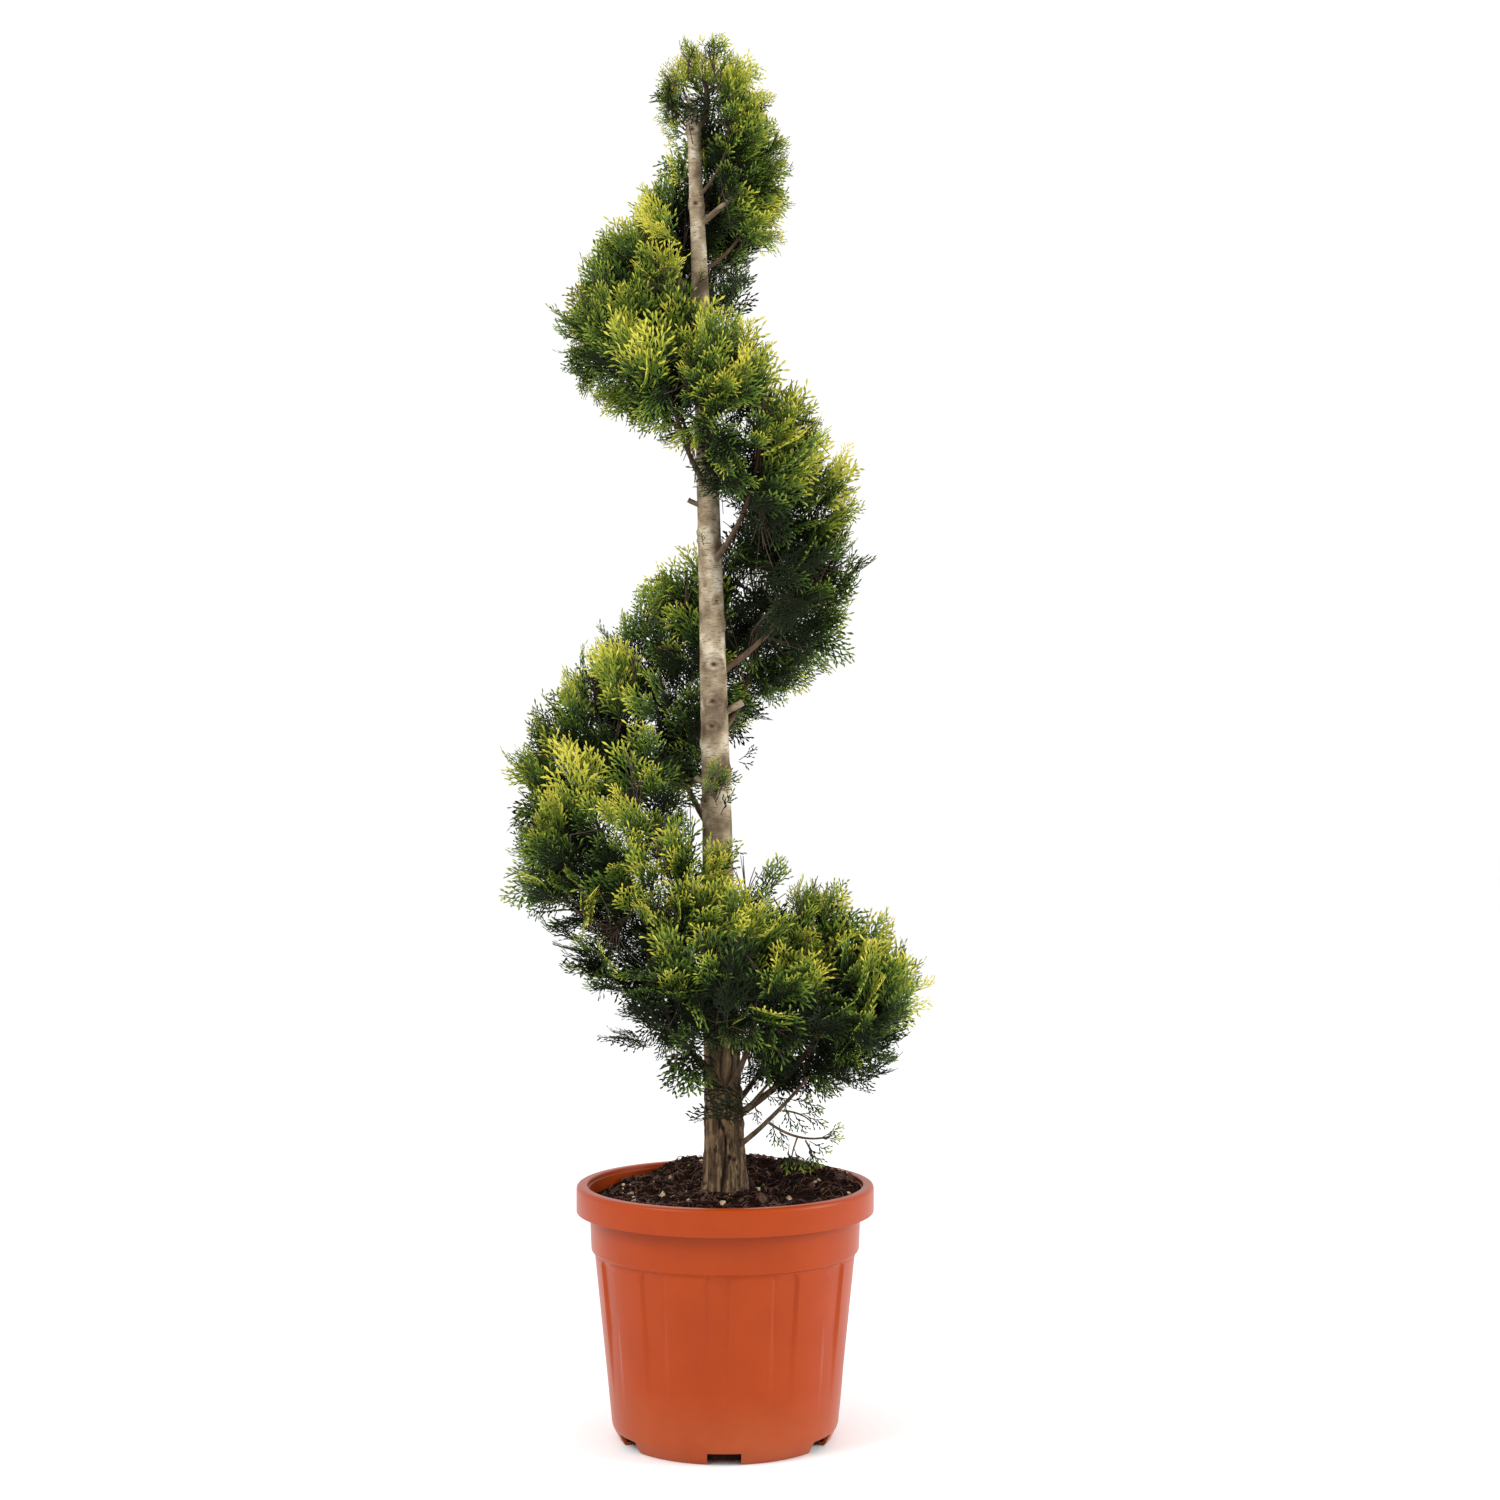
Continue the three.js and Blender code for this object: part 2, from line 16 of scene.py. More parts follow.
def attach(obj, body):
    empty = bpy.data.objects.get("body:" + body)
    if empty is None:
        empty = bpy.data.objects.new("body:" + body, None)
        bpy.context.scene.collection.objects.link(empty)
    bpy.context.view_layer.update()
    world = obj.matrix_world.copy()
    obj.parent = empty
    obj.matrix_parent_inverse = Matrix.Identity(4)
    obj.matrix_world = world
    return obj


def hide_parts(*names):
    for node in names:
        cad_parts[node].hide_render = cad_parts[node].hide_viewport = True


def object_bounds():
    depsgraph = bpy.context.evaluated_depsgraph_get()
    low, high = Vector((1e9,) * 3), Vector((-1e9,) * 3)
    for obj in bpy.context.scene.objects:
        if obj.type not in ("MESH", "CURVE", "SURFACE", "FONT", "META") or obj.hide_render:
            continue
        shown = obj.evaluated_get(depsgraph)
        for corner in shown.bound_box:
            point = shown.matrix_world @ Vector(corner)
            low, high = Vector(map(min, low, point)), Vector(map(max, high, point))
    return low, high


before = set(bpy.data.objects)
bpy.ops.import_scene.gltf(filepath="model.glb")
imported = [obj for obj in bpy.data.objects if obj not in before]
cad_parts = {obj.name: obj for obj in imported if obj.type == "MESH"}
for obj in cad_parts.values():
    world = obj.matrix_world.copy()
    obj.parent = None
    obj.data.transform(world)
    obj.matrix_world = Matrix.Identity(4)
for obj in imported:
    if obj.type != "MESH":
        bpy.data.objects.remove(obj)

MM = 0.001
cad_low, cad_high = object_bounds()
print("CAD box from", [round(v, 3) for v in cad_low], "to", [round(v, 3) for v in cad_high])

# %% [markdown]
# ## Camera, floor and light
# A product photo is taken with a long lens, level with the middle of the plant, in a bright
# white studio. The lens and distance below give the photo's perspective. A white world lights
# the plant softly from all sides, and two large lamps give it a brighter left side.

# %% Camera
CAMERA_PLACE = (0.025, -2.51, 0.692)
LENS_MM = 59.64
SENSOR_MM = 36.0

camera_data = bpy.data.cameras.new("camera")
camera_data.lens = LENS_MM
camera_data.sensor_width = SENSOR_MM
camera = bpy.data.objects.new("camera", camera_data)
camera.location = CAMERA_PLACE
camera.rotation_euler = (math.radians(90), 0, 0)
bpy.context.collection.objects.link(camera)
bpy.context.scene.camera = camera
bpy.context.scene.view_settings.view_transform = "Standard"
print("camera", LENS_MM, "mm lens at", CAMERA_PLACE)


# %% Colours and nodes
COLOUR_A, COLOUR_B = 6, 7    # where a Mix node's two colours are among its inputs


def linear(hex_code):
    """An sRGB hex colour as the linear colour that Blender's nodes take."""
    channels = [int(hex_code[i:i + 2], 16) / 255 for i in (1, 3, 5)]
    return (*[c / 12.92 if c <= 0.04045 else ((c + 0.055) / 1.055) ** 2.4 for c in channels], 1.0)


def link_inputs(tree, node, links):
    """Links a node's inputs. A source is a socket, or a node for its first output in use."""
    for key, source in links.items():
        if isinstance(source, bpy.types.Node):
            source = next(socket for socket in source.outputs if socket.enabled)
        tree.links.new(source, node.inputs[key])


def add_node(tree, kind, settings=None, links=None):
    """Adds a node with its settings, and links its inputs. The setting stops fills a ColorRamp."""
    made = tree.nodes.new("ShaderNode" + kind)
    for key, value in (settings or {}).items():
        if key == "stops":
            ramp = made.color_ramp
            while len(ramp.elements) < len(value):
                ramp.elements.new(0.5)
            for element, (place, colour) in zip(ramp.elements, value):
                element.position = place
                element.color = linear(colour)
        elif isinstance(key, int) or key in made.inputs:
            made.inputs[key].default_value = value
        else:
            setattr(made, key, value)
    link_inputs(tree, made, links or {})
    return made


def new_material(name, settings):
    """A material with one Principled shader. Returns it, its tree, the shader and the place."""
    material = bpy.data.materials.new(name)
    material.use_nodes = True
    tree = material.node_tree
    tree.nodes.clear()
    shader = add_node(tree, "BsdfPrincipled", settings)
    add_node(tree, "OutputMaterial", links={"Surface": shader})
    place = add_node(tree, "TexCoord").outputs["Object"]
    return material, tree, shader, place


def per_metre(size_mm):
    """The noise scale whose spots are about this size."""
    return 1 / (size_mm * MM)


print("a noise with spots of 45 mm has scale", round(per_metre(45), 1))


# %% Floor and lights
FLOOR_SIZE = 30.0
WORLD_STRENGTH = 1.04
LAMPS = {                    # metres and watts
    "key": {"place": (-2.1, -1.6, 2.5), "size": 1.5, "power": 58},
    "side": {"place": (2.5, -0.5, 1.2), "size": 1.4, "power": 42},
}
LAMP_AIM = (0, 0, 0.75)      # the middle of the plant

bm = bmesh.new()
bmesh.ops.create_grid(bm, x_segments=1, y_segments=1, size=FLOOR_SIZE / 2)
floor_mesh = bpy.data.meshes.new("floor")
bm.to_mesh(floor_mesh)
bm.free()
floor = bpy.data.objects.new("floor", floor_mesh)
bpy.context.collection.objects.link(floor)
# Matt white paint shows the plant's soft shadow and nothing of its own.
floor_paint = new_material("pale_floor_paint", {"Base Color": linear("#FBFBFB"), "Roughness": 0.9})[0]
floor_mesh.materials.append(floor_paint)

world = bpy.data.worlds.new("studio")
world.use_nodes = True
world.node_tree.nodes["Background"].inputs["Color"].default_value = linear("#FFFFFF")
world.node_tree.nodes["Background"].inputs["Strength"].default_value = WORLD_STRENGTH
bpy.context.scene.world = world

for name, lamp in LAMPS.items():
    data = bpy.data.lights.new(name, "AREA")
    data.shape = "DISK"
    data.size = lamp["size"]
    data.energy = lamp["power"]
    made = bpy.data.objects.new(name, data)
    made.location = lamp["place"]
    aim = Vector(LAMP_AIM) - made.location
    made.rotation_euler = aim.to_track_quat("-Z", "Y").to_euler()
    bpy.context.collection.objects.link(made)
print("floor and", len(LAMPS), "lamps")


# %% [markdown]
# ## Helpers for meshes
# Every finished piece is one mesh at the origin, with its place in its vertices, as the CAD
# nodes are. Small repeated things are copied as arrays of vertices and faces, because joining
# thousands of objects would be slow and the export drops instances.

# %% Pieces from a bmesh or from arrays
SLANT = (0.31, 0.23, 0.92)   # a way that hardly any strand runs, to start its rings from


def finish_piece(mesh, name, material, replaced):
    """Gives a mesh its object, finish and body, and hides the CAD nodes that it replaces."""
    piece = bpy.data.objects.new(name, mesh)
    bpy.context.collection.objects.link(piece)
    mesh.materials.clear()
    mesh.materials.append(material)
    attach(piece, "root")
    if replaced:
        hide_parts(*replaced)
    print(name, "has", sum(len(p.vertices) - 2 for p in mesh.polygons), "triangles")


def mesh_from_bmesh(bm, name, sharp_degrees):
    """A mesh with smooth faces, and sharp edges where the faces turn by more than the angle."""
    for face in bm.faces:
        face.smooth = True
    for edge in bm.edges:
        edge.smooth = len(edge.link_faces) == 2 and edge.calc_face_angle() < math.radians(sharp_degrees)
    mesh = bpy.data.meshes.new(name)
    bm.to_mesh(mesh)
    bm.free()
    return mesh


def mesh_from_arrays(name, corners, triangles, smooth=False):
    """A mesh from an array of corners and an array of triangles."""
    mesh = bpy.data.meshes.new(name)
    mesh.vertices.add(len(corners))
    mesh.vertices.foreach_set("co", corners.astype(np.float32).ravel())
    mesh.loops.add(triangles.size)
    mesh.loops.foreach_set("vertex_index", triangles.astype(np.int32).ravel())
    mesh.polygons.add(len(triangles))
    mesh.polygons.foreach_set("loop_start", np.arange(0, triangles.size, 3, dtype=np.int32))
    mesh.polygons.foreach_set("use_smooth", np.full(len(triangles), smooth))
    mesh.update(calc_edges=True)
    return mesh


def joined(blocks):
    """Joins several (corners, triangles) blocks into one."""
    offsets = np.cumsum([0] + [len(corners) for corners, _ in blocks[:-1]])
    corners = np.concatenate([corners for corners, _ in blocks])
    triangles = np.concatenate([triangles + start for (_, triangles), start in zip(blocks, offsets)])
    return corners, triangles


def strands(lines, radii, sides):
    """Closed tubes along many lines at once. lines is (tubes, rings, 3), radii is (tubes, rings)."""
    tubes, rings, _ = lines.shape
    ahead = np.gradient(lines, axis=1)
    ahead /= np.linalg.norm(ahead, axis=2, keepdims=True)
    side = np.cross(ahead, SLANT)
    side /= np.linalg.norm(side, axis=2, keepdims=True)
    turns = (np.arange(sides) * 2 * math.pi / sides)[:, None]
    around_line = np.cos(turns) * side[:, :, None] + np.sin(turns) * np.cross(ahead, side)[:, :, None]
    corners = lines[:, :, None] + radii[:, :, None, None] * around_line
    step = np.arange(sides)
    after = (step + 1) % sides
    start = np.arange(rings - 1)[:, None] * sides
    a, b = (start + step).ravel(), (start + after).ravel()
    walls = np.concatenate([np.stack([a, b, b + sides], 1), np.stack([a, b + sides, a + sides], 1)])
    fan = np.stack([np.zeros(sides - 2, int), step[2:], step[1:-1]], 1)
    one = np.concatenate([walls, fan, fan[:, ::-1] + (rings - 1) * sides])
    every = one[None] + (np.arange(tubes) * rings * sides)[:, None, None]
    return corners.reshape(-1, 3), every.reshape(-1, 3)


def smooth_step(low, high, value):
    """0 below low, 1 above high, with a soft change between them."""
    share = np.clip((value - low) / (high - low), 0, 1)
    return share * share * (3 - 2 * share)


one_strand = strands(np.array([[[0.0, 0, 0], [0, 0, 1]]]), np.ones((1, 2)), 3)
print("a strand with two rings of three sides has", len(one_strand[1]), "triangles")


# %% [markdown]
# ## The pot
# A nursery pot is injection moulded from polypropylene. Its wall is thin, its top is folded
# over into a hollow collar, and flutes are pressed into the wall to stiffen it. A turned
# profile is the right start: its outline is spun round the axis, the flutes are then pressed
# in by moving vertices, and the drain notches are cut at the foot with a Boolean.

# %% Sizes of the pot, in millimetres
POT_HEIGHT = 255
FOOT_RADIUS = 106
BODY_FOOT_RADIUS = 114
BODY_TOP_RADIUS = 131
BAND_FOOT_RADIUS = 135
BAND_TOP_RADIUS = 136.5
LIP_RADIUS = 150
LIP_INNER_RADIUS = 139
FOOT_CHAMFER = 15
BODY_TOP = 181
BODY_RINGS = (20, 26, 34, 50, 75, 100, 125, 145, 158, 164, 168,    # heights of the wall's rings,
              171, 173, 175, 177, 179, 181, 183, 185)              # close where the flutes end
FLUTE_END = 187
BAND_FOOT = 190
LIP_FOOT = 228
WALL = 2.6
FLOOR_THICKNESS = 3
POT_STEPS = 360
CORNER_STEPS = 4
print("the pot is", POT_HEIGHT, "mm high and", 2 * LIP_RADIUS, "mm wide")


# %% Outline and spin
def rounded_outline(points):
    """Turns each (radius, height, rounding) corner into a short arc."""
    made = [points[0][:2]]
    for before, corner, after in zip(points, points[1:], points[2:]):
        here = Vector(corner[:2])
        if corner[2] == 0:
            made.append(corner[:2])
            continue
        first = here + (Vector(before[:2]) - here).normalized() * corner[2]
        last = here + (Vector(after[:2]) - here).normalized() * corner[2]
        for step in range(CORNER_STEPS + 1):
            share = step / CORNER_STEPS
            made.append(tuple(first.lerp(here, share).lerp(here.lerp(last, share), share)))
    return made + [points[-1][:2]]


def spin_outline(outline, steps):
    """Spins an outline of radii and heights in millimetres into a closed mesh."""
    bm = bmesh.new()
    corners = [bm.verts.new((radius * MM, 0, height * MM)) for radius, height in outline]
    edges = [bm.edges.new(pair) for pair in zip(corners, corners[1:])]
    bmesh.ops.spin(bm, geom=corners + edges, cent=(0, 0, 0), axis=(0, 0, 1),
                   angle=2 * math.pi, steps=steps, use_merge=True)
    bmesh.ops.remove_doubles(bm, verts=bm.verts, dist=0.01 * MM)
    bmesh.ops.recalc_face_normals(bm, faces=bm.faces)
    return bm


def body_radius(height):
    """The pot's outer radius between its foot and its collar, without the flutes."""
    widening = BODY_TOP_RADIUS - BODY_FOOT_RADIUS
    return BODY_FOOT_RADIUS + widening * (height - FOOT_CHAMFER) / (BODY_TOP - FOOT_CHAMFER)


# Each corner is a radius, a height and a rounding, up the outside and down the inside.
pot_outline = rounded_outline([
    (0, 0, 0), (FOOT_RADIUS, 0, 2), (BODY_FOOT_RADIUS, FOOT_CHAMFER, 3),
    *[(body_radius(height), height, 0) for height in BODY_RINGS],
    (BODY_TOP_RADIUS, FLUTE_END, 0.8), (BAND_FOOT_RADIUS, BAND_FOOT, 1.6),
    (BAND_TOP_RADIUS, LIP_FOOT, 0), (BAND_TOP_RADIUS + 0.5, POT_HEIGHT - 4, 1),
    (LIP_RADIUS - WALL, POT_HEIGHT - 6, 2), (LIP_RADIUS - WALL, LIP_FOOT + 0.5, 0.8),
    (LIP_RADIUS, LIP_FOOT, 0.8), (LIP_RADIUS, POT_HEIGHT, 4.5), (LIP_INNER_RADIUS, POT_HEIGHT, 1.6),
    (BAND_FOOT_RADIUS - WALL, BAND_FOOT, 2), (BODY_TOP_RADIUS - WALL, BODY_TOP, 2),
    (BODY_FOOT_RADIUS - WALL, FOOT_CHAMFER, 2), (FOOT_RADIUS - WALL, FLOOR_THICKNESS, 1),
    (0, FLOOR_THICKNESS, 0),
])
pot_bm = spin_outline(pot_outline, POT_STEPS)
print("the pot's outline has", len(pot_outline), "points")


# %% Flutes and notches
FLUTES = 12
FLUTE_DEPTH = 3.4
FLUTE_WIDTH = 13             # degrees
FLUTE_EDGE = 2.2             # degrees over which its side slopes
FLUTE_CENTRE = -2.5          # degrees from the front
FLUTE_FADE = (45, 150)       # heights between which it grows from nothing to its full depth
FLUTE_ARCH = 6               # how much lower the flute ends at its sides
NOTCHES = 6
NOTCH_WIDTH = 33
NOTCH_HEIGHT = 12.5
NOTCH_RADII = (90, 138)


def flute_depth(degrees, height):
    """How far the wall is pressed in at a place on the body, in millimetres."""
    period = 360 / FLUTES
    aside = (degrees - FLUTE_CENTRE + period / 2) % period - period / 2
    across = 1 - smooth_step(FLUTE_WIDTH / 2 - FLUTE_EDGE, FLUTE_WIDTH / 2, abs(aside))
    arch = FLUTE_END + 1 - FLUTE_ARCH * (2 * aside / FLUTE_WIDTH) ** 2
    upwards = smooth_step(*FLUTE_FADE, height) * (1 - smooth_step(arch - 2, arch, height))
    return FLUTE_DEPTH * across * upwards


for vertex in pot_bm.verts:
    radius = math.hypot(vertex.co.x, vertex.co.y)
    height = vertex.co.z / MM
    outside = radius / MM > body_radius(height) - WALL / 2
    if FOOT_CHAMFER < height < FLUTE_END and outside:
        degrees = math.degrees(math.atan2(vertex.co.x, -vertex.co.y))
        vertex.co.xy *= 1 - flute_depth(degrees, height) * MM / radius

cutter_bm = bmesh.new()
for i in range(NOTCHES):
    depth = NOTCH_RADII[1] - NOTCH_RADII[0]
    box = bmesh.ops.create_cube(cutter_bm, size=1)["verts"]
    bmesh.ops.scale(cutter_bm, verts=box, vec=Vector((NOTCH_WIDTH, depth, 2 * NOTCH_HEIGHT)) * MM)
    bmesh.ops.translate(cutter_bm, verts=box, vec=Vector((0, -sum(NOTCH_RADII) / 2, 0)) * MM)
    turn = Matrix.Rotation(2 * math.pi * i / NOTCHES, 3, "Z")
    bmesh.ops.rotate(cutter_bm, verts=box, cent=(0, 0, 0), matrix=turn)


def cut_away(bm, cutter_bm, name):
    """Cuts one bmesh out of another with a Boolean modifier that is applied at once."""
    pair = []
    for part in (bm, cutter_bm):
        mesh = bpy.data.meshes.new(name)
        part.to_mesh(mesh)
        part.free()
        pair.append(bpy.data.objects.new(name, mesh))
        bpy.context.collection.objects.link(pair[-1])
    cut = pair[0].modifiers.new("cut", "BOOLEAN")
    cut.object = pair[1]
    cut.solver = "EXACT"
    evaluated = pair[0].evaluated_get(bpy.context.evaluated_depsgraph_get())
    made = bmesh.new()
    made.from_mesh(evaluated.to_mesh())
    for old in pair:
        bpy.data.objects.remove(old)
    return made


notched_bm = cut_away(pot_bm, cutter_bm, "pot_blank")
print("pressed", FLUTES, "flutes and cut", NOTCHES, "notches")

# %% [markdown]
# The pot's finish is satin moulded polypropylene. Its colour is even, with a faint cloudiness
# from the pigment, and the mould leaves a fine grain that breaks up the highlight. A little
# dust sits low on the wall, where pots are splashed when they are watered.

# %% Finish of the pot
POT_SHARP = 32               # degrees between faces from which an edge is drawn sharp


def moulded_polypropylene():
    """Satin plastic: an even pigment, the mould's fine grain, and dust low on the wall."""
    material, tree, shader, place = new_material("moulded_polypropylene", {
        "Roughness": 0.34, "IOR": 1.49, "Specular IOR Level": 0.2})
    cloud = add_node(tree, "TexNoise", {"Scale": per_metre(45), "Detail": 4.0}, {"Vector": place})
    pigment = add_node(tree, "ValToRGB", {"stops": [(0.3, "#983605"), (0.7, "#9E3A07")]}, {"Fac": cloud})
    speck = add_node(tree, "TexNoise", {"Scale": per_metre(1.6), "Detail": 2.0}, {"Vector": place})
    spots = add_node(tree, "MapRange", {"From Min": 0.62, "From Max": 0.8, "To Max": 0.3}, {"Value": speck})
    speckled = add_node(tree, "Mix", {"data_type": "RGBA", COLOUR_B: linear("#B0501C")},
                        {"Factor": spots, COLOUR_A: pigment})
    height = add_node(tree, "SeparateXYZ", links={"Vector": place}).outputs["Z"]
    low = add_node(tree, "MapRange", {"From Min": 0.07, "From Max": 0.0, "To Max": 0.5}, {"Value": height})
    splash = add_node(tree, "Math", {"operation": "MULTIPLY"}, {0: low, 1: cloud})
    dusty = add_node(tree, "Mix", {"data_type": "RGBA", COLOUR_B: linear("#A86A48")},
                     {"Factor": splash, COLOUR_A: speckled})
    grain = add_node(tree, "TexNoise", {"Scale": per_metre(1.1), "Detail": 3.0}, {"Vector": place})
    bump = add_node(tree, "Bump", {"Strength": 0.12, "Distance": 0.2 * MM}, {"Height": grain})
    link_inputs(tree, shader, {"Base Color": dusty, "Normal": bump})
    return material


finish_piece(mesh_from_bmesh(notched_bm, "pot", POT_SHARP), "pot_moulded",
             moulded_polypropylene(), ["pot"])

# %% [markdown]
# ## The soil
# Potting soil is a crumbly mix of peat, bark and a few pale stones. It is heaped higher at the
# back right, where it reaches over the rim. One spun mesh fills the pot and its top is pushed
# up and down by noise. Thousands of crumbs, fibres and chips lie on it, joined from arrays.

# %% Soil body
GROUND = 249
SOIL_RADIUS = 134.6
SLOPE_RADII = (0, 30, 58, 86, 112, SOIL_RADIUS)
SLOPE_HEIGHTS = (GROUND, 248, 246, 243, 241, 238)
SOIL_SEAT = (18, 36)         # radii between which the flat seat of the trunk turns rough
HEAP_HEIGHT = 21
HEAP_BEARING = 50            # degrees from the right towards the back
HEAP_SIDE = (-0.35, 0.75)    # cosines of the turn away from it, from no heap to all of it
HEAP_RADII = (24, 112)       # radii between which it rises
HEAP_EDGE = (120, 136)       # radii between which it sinks again at the rim
HEAP_SINK = 0.32             # and by how much of its height
SOIL_BUMPS = [               # height, width and seed of each layer of noise
    (4.2, 34, 3), (2.6, 12, 9), (1.8, 4.5, 5), (1.0, 2, 1),
]
HIDDEN_OUTLINE = [(SOIL_RADIUS - 2, 192), (124, 180), (109, 15), (102, 4), (0, 4)]
SOIL_STEPS = 300
SOIL_RINGS = 86


def soil_height(x, y):
    """Height of the soil's surface at a place, in millimetres."""
    radius = math.hypot(x, y)
    slope = float(np.interp(radius, SLOPE_RADII, SLOPE_HEIGHTS))
    side = float(smooth_step(*HEAP_SIDE, math.cos(math.atan2(y, x) - math.radians(HEAP_BEARING))))
    rise = float(smooth_step(*HEAP_RADII, radius) - HEAP_SINK * smooth_step(*HEAP_EDGE, radius))
    bumps = sum(high * noise.noise(Vector((x, y, seed)) / wide) for high, wide, seed in SOIL_BUMPS)
    return slope + HEAP_HEIGHT * side * rise + float(smooth_step(*SOIL_SEAT, radius)) * bumps


top_outline = [(SOIL_RADIUS * step / SOIL_RINGS, GROUND) for step in range(SOIL_RINGS + 1)]
soil_bm = spin_outline(top_outline + HIDDEN_OUTLINE, SOIL_STEPS)
for vertex in soil_bm.verts:
    if vertex.co.z > (GROUND - 1) * MM:
        x, y = vertex.co.xy / MM
        vertex.co.z = soil_height(x, y) * MM
print("soil body with", len(soil_bm.verts), "corners")


# %% Finish of the soil and what lies on it
SOIL_SHARP = 80


def potting_soil():
    """Moist peat: nearly black, with reddish fibre and no shine."""
    material, tree, shader, place = new_material("moist_potting_soil", {
        "Roughness": 0.95, "Specular IOR Level": 0.1})
    clods = add_node(tree, "TexNoise", {"Scale": per_metre(7), "Detail": 8.0, "Roughness": 0.7},
                     {"Vector": place})
    colours = add_node(tree, "ValToRGB", {"stops": [
        (0.3, "#0C0503"), (0.48, "#190C07"), (0.6, "#28120B"), (0.75, "#452519")]}, {"Fac": clods})
    fine = add_node(tree, "TexNoise", {"Scale": per_metre(1.5), "Detail": 4.0}, {"Vector": place})
    bump = add_node(tree, "Bump", {"Strength": 0.7, "Distance": 1.0 * MM}, {"Height": fine})
    link_inputs(tree, shader, {"Base Color": colours, "Normal": bump})
    return material


def mottled(name, dark, light, spot_mm, roughness):
    """A natural finish that wanders between two colours, for bark, fibre, stone or moss."""
    material, tree, shader, place = new_material(name, {"Roughness": roughness})
    spots = add_node(tree, "TexNoise", {"Scale": per_metre(spot_mm), "Detail": 3.0}, {"Vector": place})
    colours = add_node(tree, "ValToRGB", {"stops": [(0.35, dark), (0.65, light)]}, {"Fac": spots})
    link_inputs(tree, shader, {"Base Color": colours})
    return material


soil_finish = potting_soil()
finish_piece(mesh_from_bmesh(soil_bm, "soil", SOIL_SHARP), "soil_body", soil_finish,
             ["soil"])


# %% Crumbs, chips and stones
PEBBLE_LUMPS = (0.55, 2.1)   # depth and closeness of the lumps on a stone of unit size
PEBBLE_SEED_STEP = 7.3
LITTER_VARIANTS = 3
LITTER_RADII = (26, 133)     # from clear of the trunk's foot to the pot's wall
LITTER_LIFT = 0.4
LITTER_SEED = 11
LITTER = {
    "soil_crumbs": {"count": 2600, "sizes": (1.6, 6.0), "squash": 0.8, "finish": soil_finish},
    "soil_bark_chips": {"count": 90, "sizes": (5, 13), "squash": 0.3,
                        "finish": mottled("pine_bark_chip", "#26150E", "#553626", 3, 0.85)},
    "soil_stones": {"count": 48, "sizes": (3, 8.5), "squash": 0.7,
                    "finish": mottled("pale_stone", "#8F7860", "#CDB796", 2.5, 0.8)},
    "soil_moss": {"count": 46, "sizes": (1.5, 4.5), "squash": 0.5,
                  "finish": mottled("green_moss", "#33461A", "#6F8434", 1.5, 0.9)},
}


def pebble(seed, squash):
    """A lumpy stone or crumb of unit size, from an icosphere with its corners moved."""
    bm = bmesh.new()
    bmesh.ops.create_icosphere(bm, subdivisions=1, radius=0.5)
    for vertex in bm.verts:
        lump = noise.noise(vertex.co * PEBBLE_LUMPS[1] + Vector((seed, 0, 0)))
        vertex.co *= 1 + PEBBLE_LUMPS[0] * lump
        vertex.co.z *= squash
    bmesh.ops.triangulate(bm, faces=bm.faces)
    bm.verts.ensure_lookup_table()
    corners = np.array([vertex.co[:] for vertex in bm.verts])
    triangles = np.array([[vertex.index for vertex in face.verts] for face in bm.faces])
    bm.free()
    return corners, triangles


def turned_copies(shape, places, sizes, rng):
    """Copies of a shape at random turns, as one block of corners and triangles."""
    corners, triangles = shape
    quaternions = rng.normal(size=(len(places), 4))
    w, x, y, z = (quaternions / np.linalg.norm(quaternions, axis=1, keepdims=True)).T
    turn = np.array([
        [1 - 2 * (y * y + z * z), 2 * (x * y - z * w), 2 * (x * z + y * w)],
        [2 * (x * y + z * w), 1 - 2 * (x * x + z * z), 2 * (y * z - x * w)],
        [2 * (x * z - y * w), 2 * (y * z + x * w), 1 - 2 * (x * x + y * y)]]).transpose(2, 0, 1)
    moved = np.einsum("nij,vj->nvi", turn, corners) * sizes[:, None, None] + places[:, None]
    every = triangles[None] + (np.arange(len(places)) * len(corners))[:, None, None]
    return moved.reshape(-1, 3), every.reshape(-1, 3)


def on_soil(count, rng, above=0.0):
    """Random places on the soil, clear of the trunk's foot, in metres."""
    nearest, furthest = LITTER_RADII
    radius = np.sqrt(rng.uniform(nearest ** 2, furthest ** 2, count))
    turn = rng.uniform(0, 2 * math.pi, count)
    x, y = radius * np.cos(turn), radius * np.sin(turn)
    z = np.array([soil_height(a, b) for a, b in zip(x, y)]) + above
    return np.stack([x, y, z], 1) * MM


soil_rng = np.random.default_rng(LITTER_SEED)
for name, litter in LITTER.items():
    blocks = []
    for variant in range(LITTER_VARIANTS):
        places = on_soil(litter["count"] // LITTER_VARIANTS, soil_rng, above=LITTER_LIFT)
        sizes = soil_rng.uniform(*litter["sizes"], len(places)) * MM
        stone = pebble(variant * PEBBLE_SEED_STEP, litter["squash"])
        blocks.append(turned_copies(stone, places, sizes, soil_rng))
    finish_piece(mesh_from_arrays(name, *joined(blocks)), name, litter["finish"], [])

# %% Fibres in the soil
FIBRES = 620
FIBRE_RINGS = 6
FIBRE_LENGTHS = (6, 26)
FIBRE_CURL = 0.45            # spread of the turn at each ring, in radians
FIBRE_REACH = 132            # the furthest that a fibre lies from the middle
FIBRE_LIFT = 1.2
FIBRE_ARCH = 2.2
FIBRE_RADII = (0.22, 0.55)
FIBRE_POINT = 0.4            # how thin its last ring is


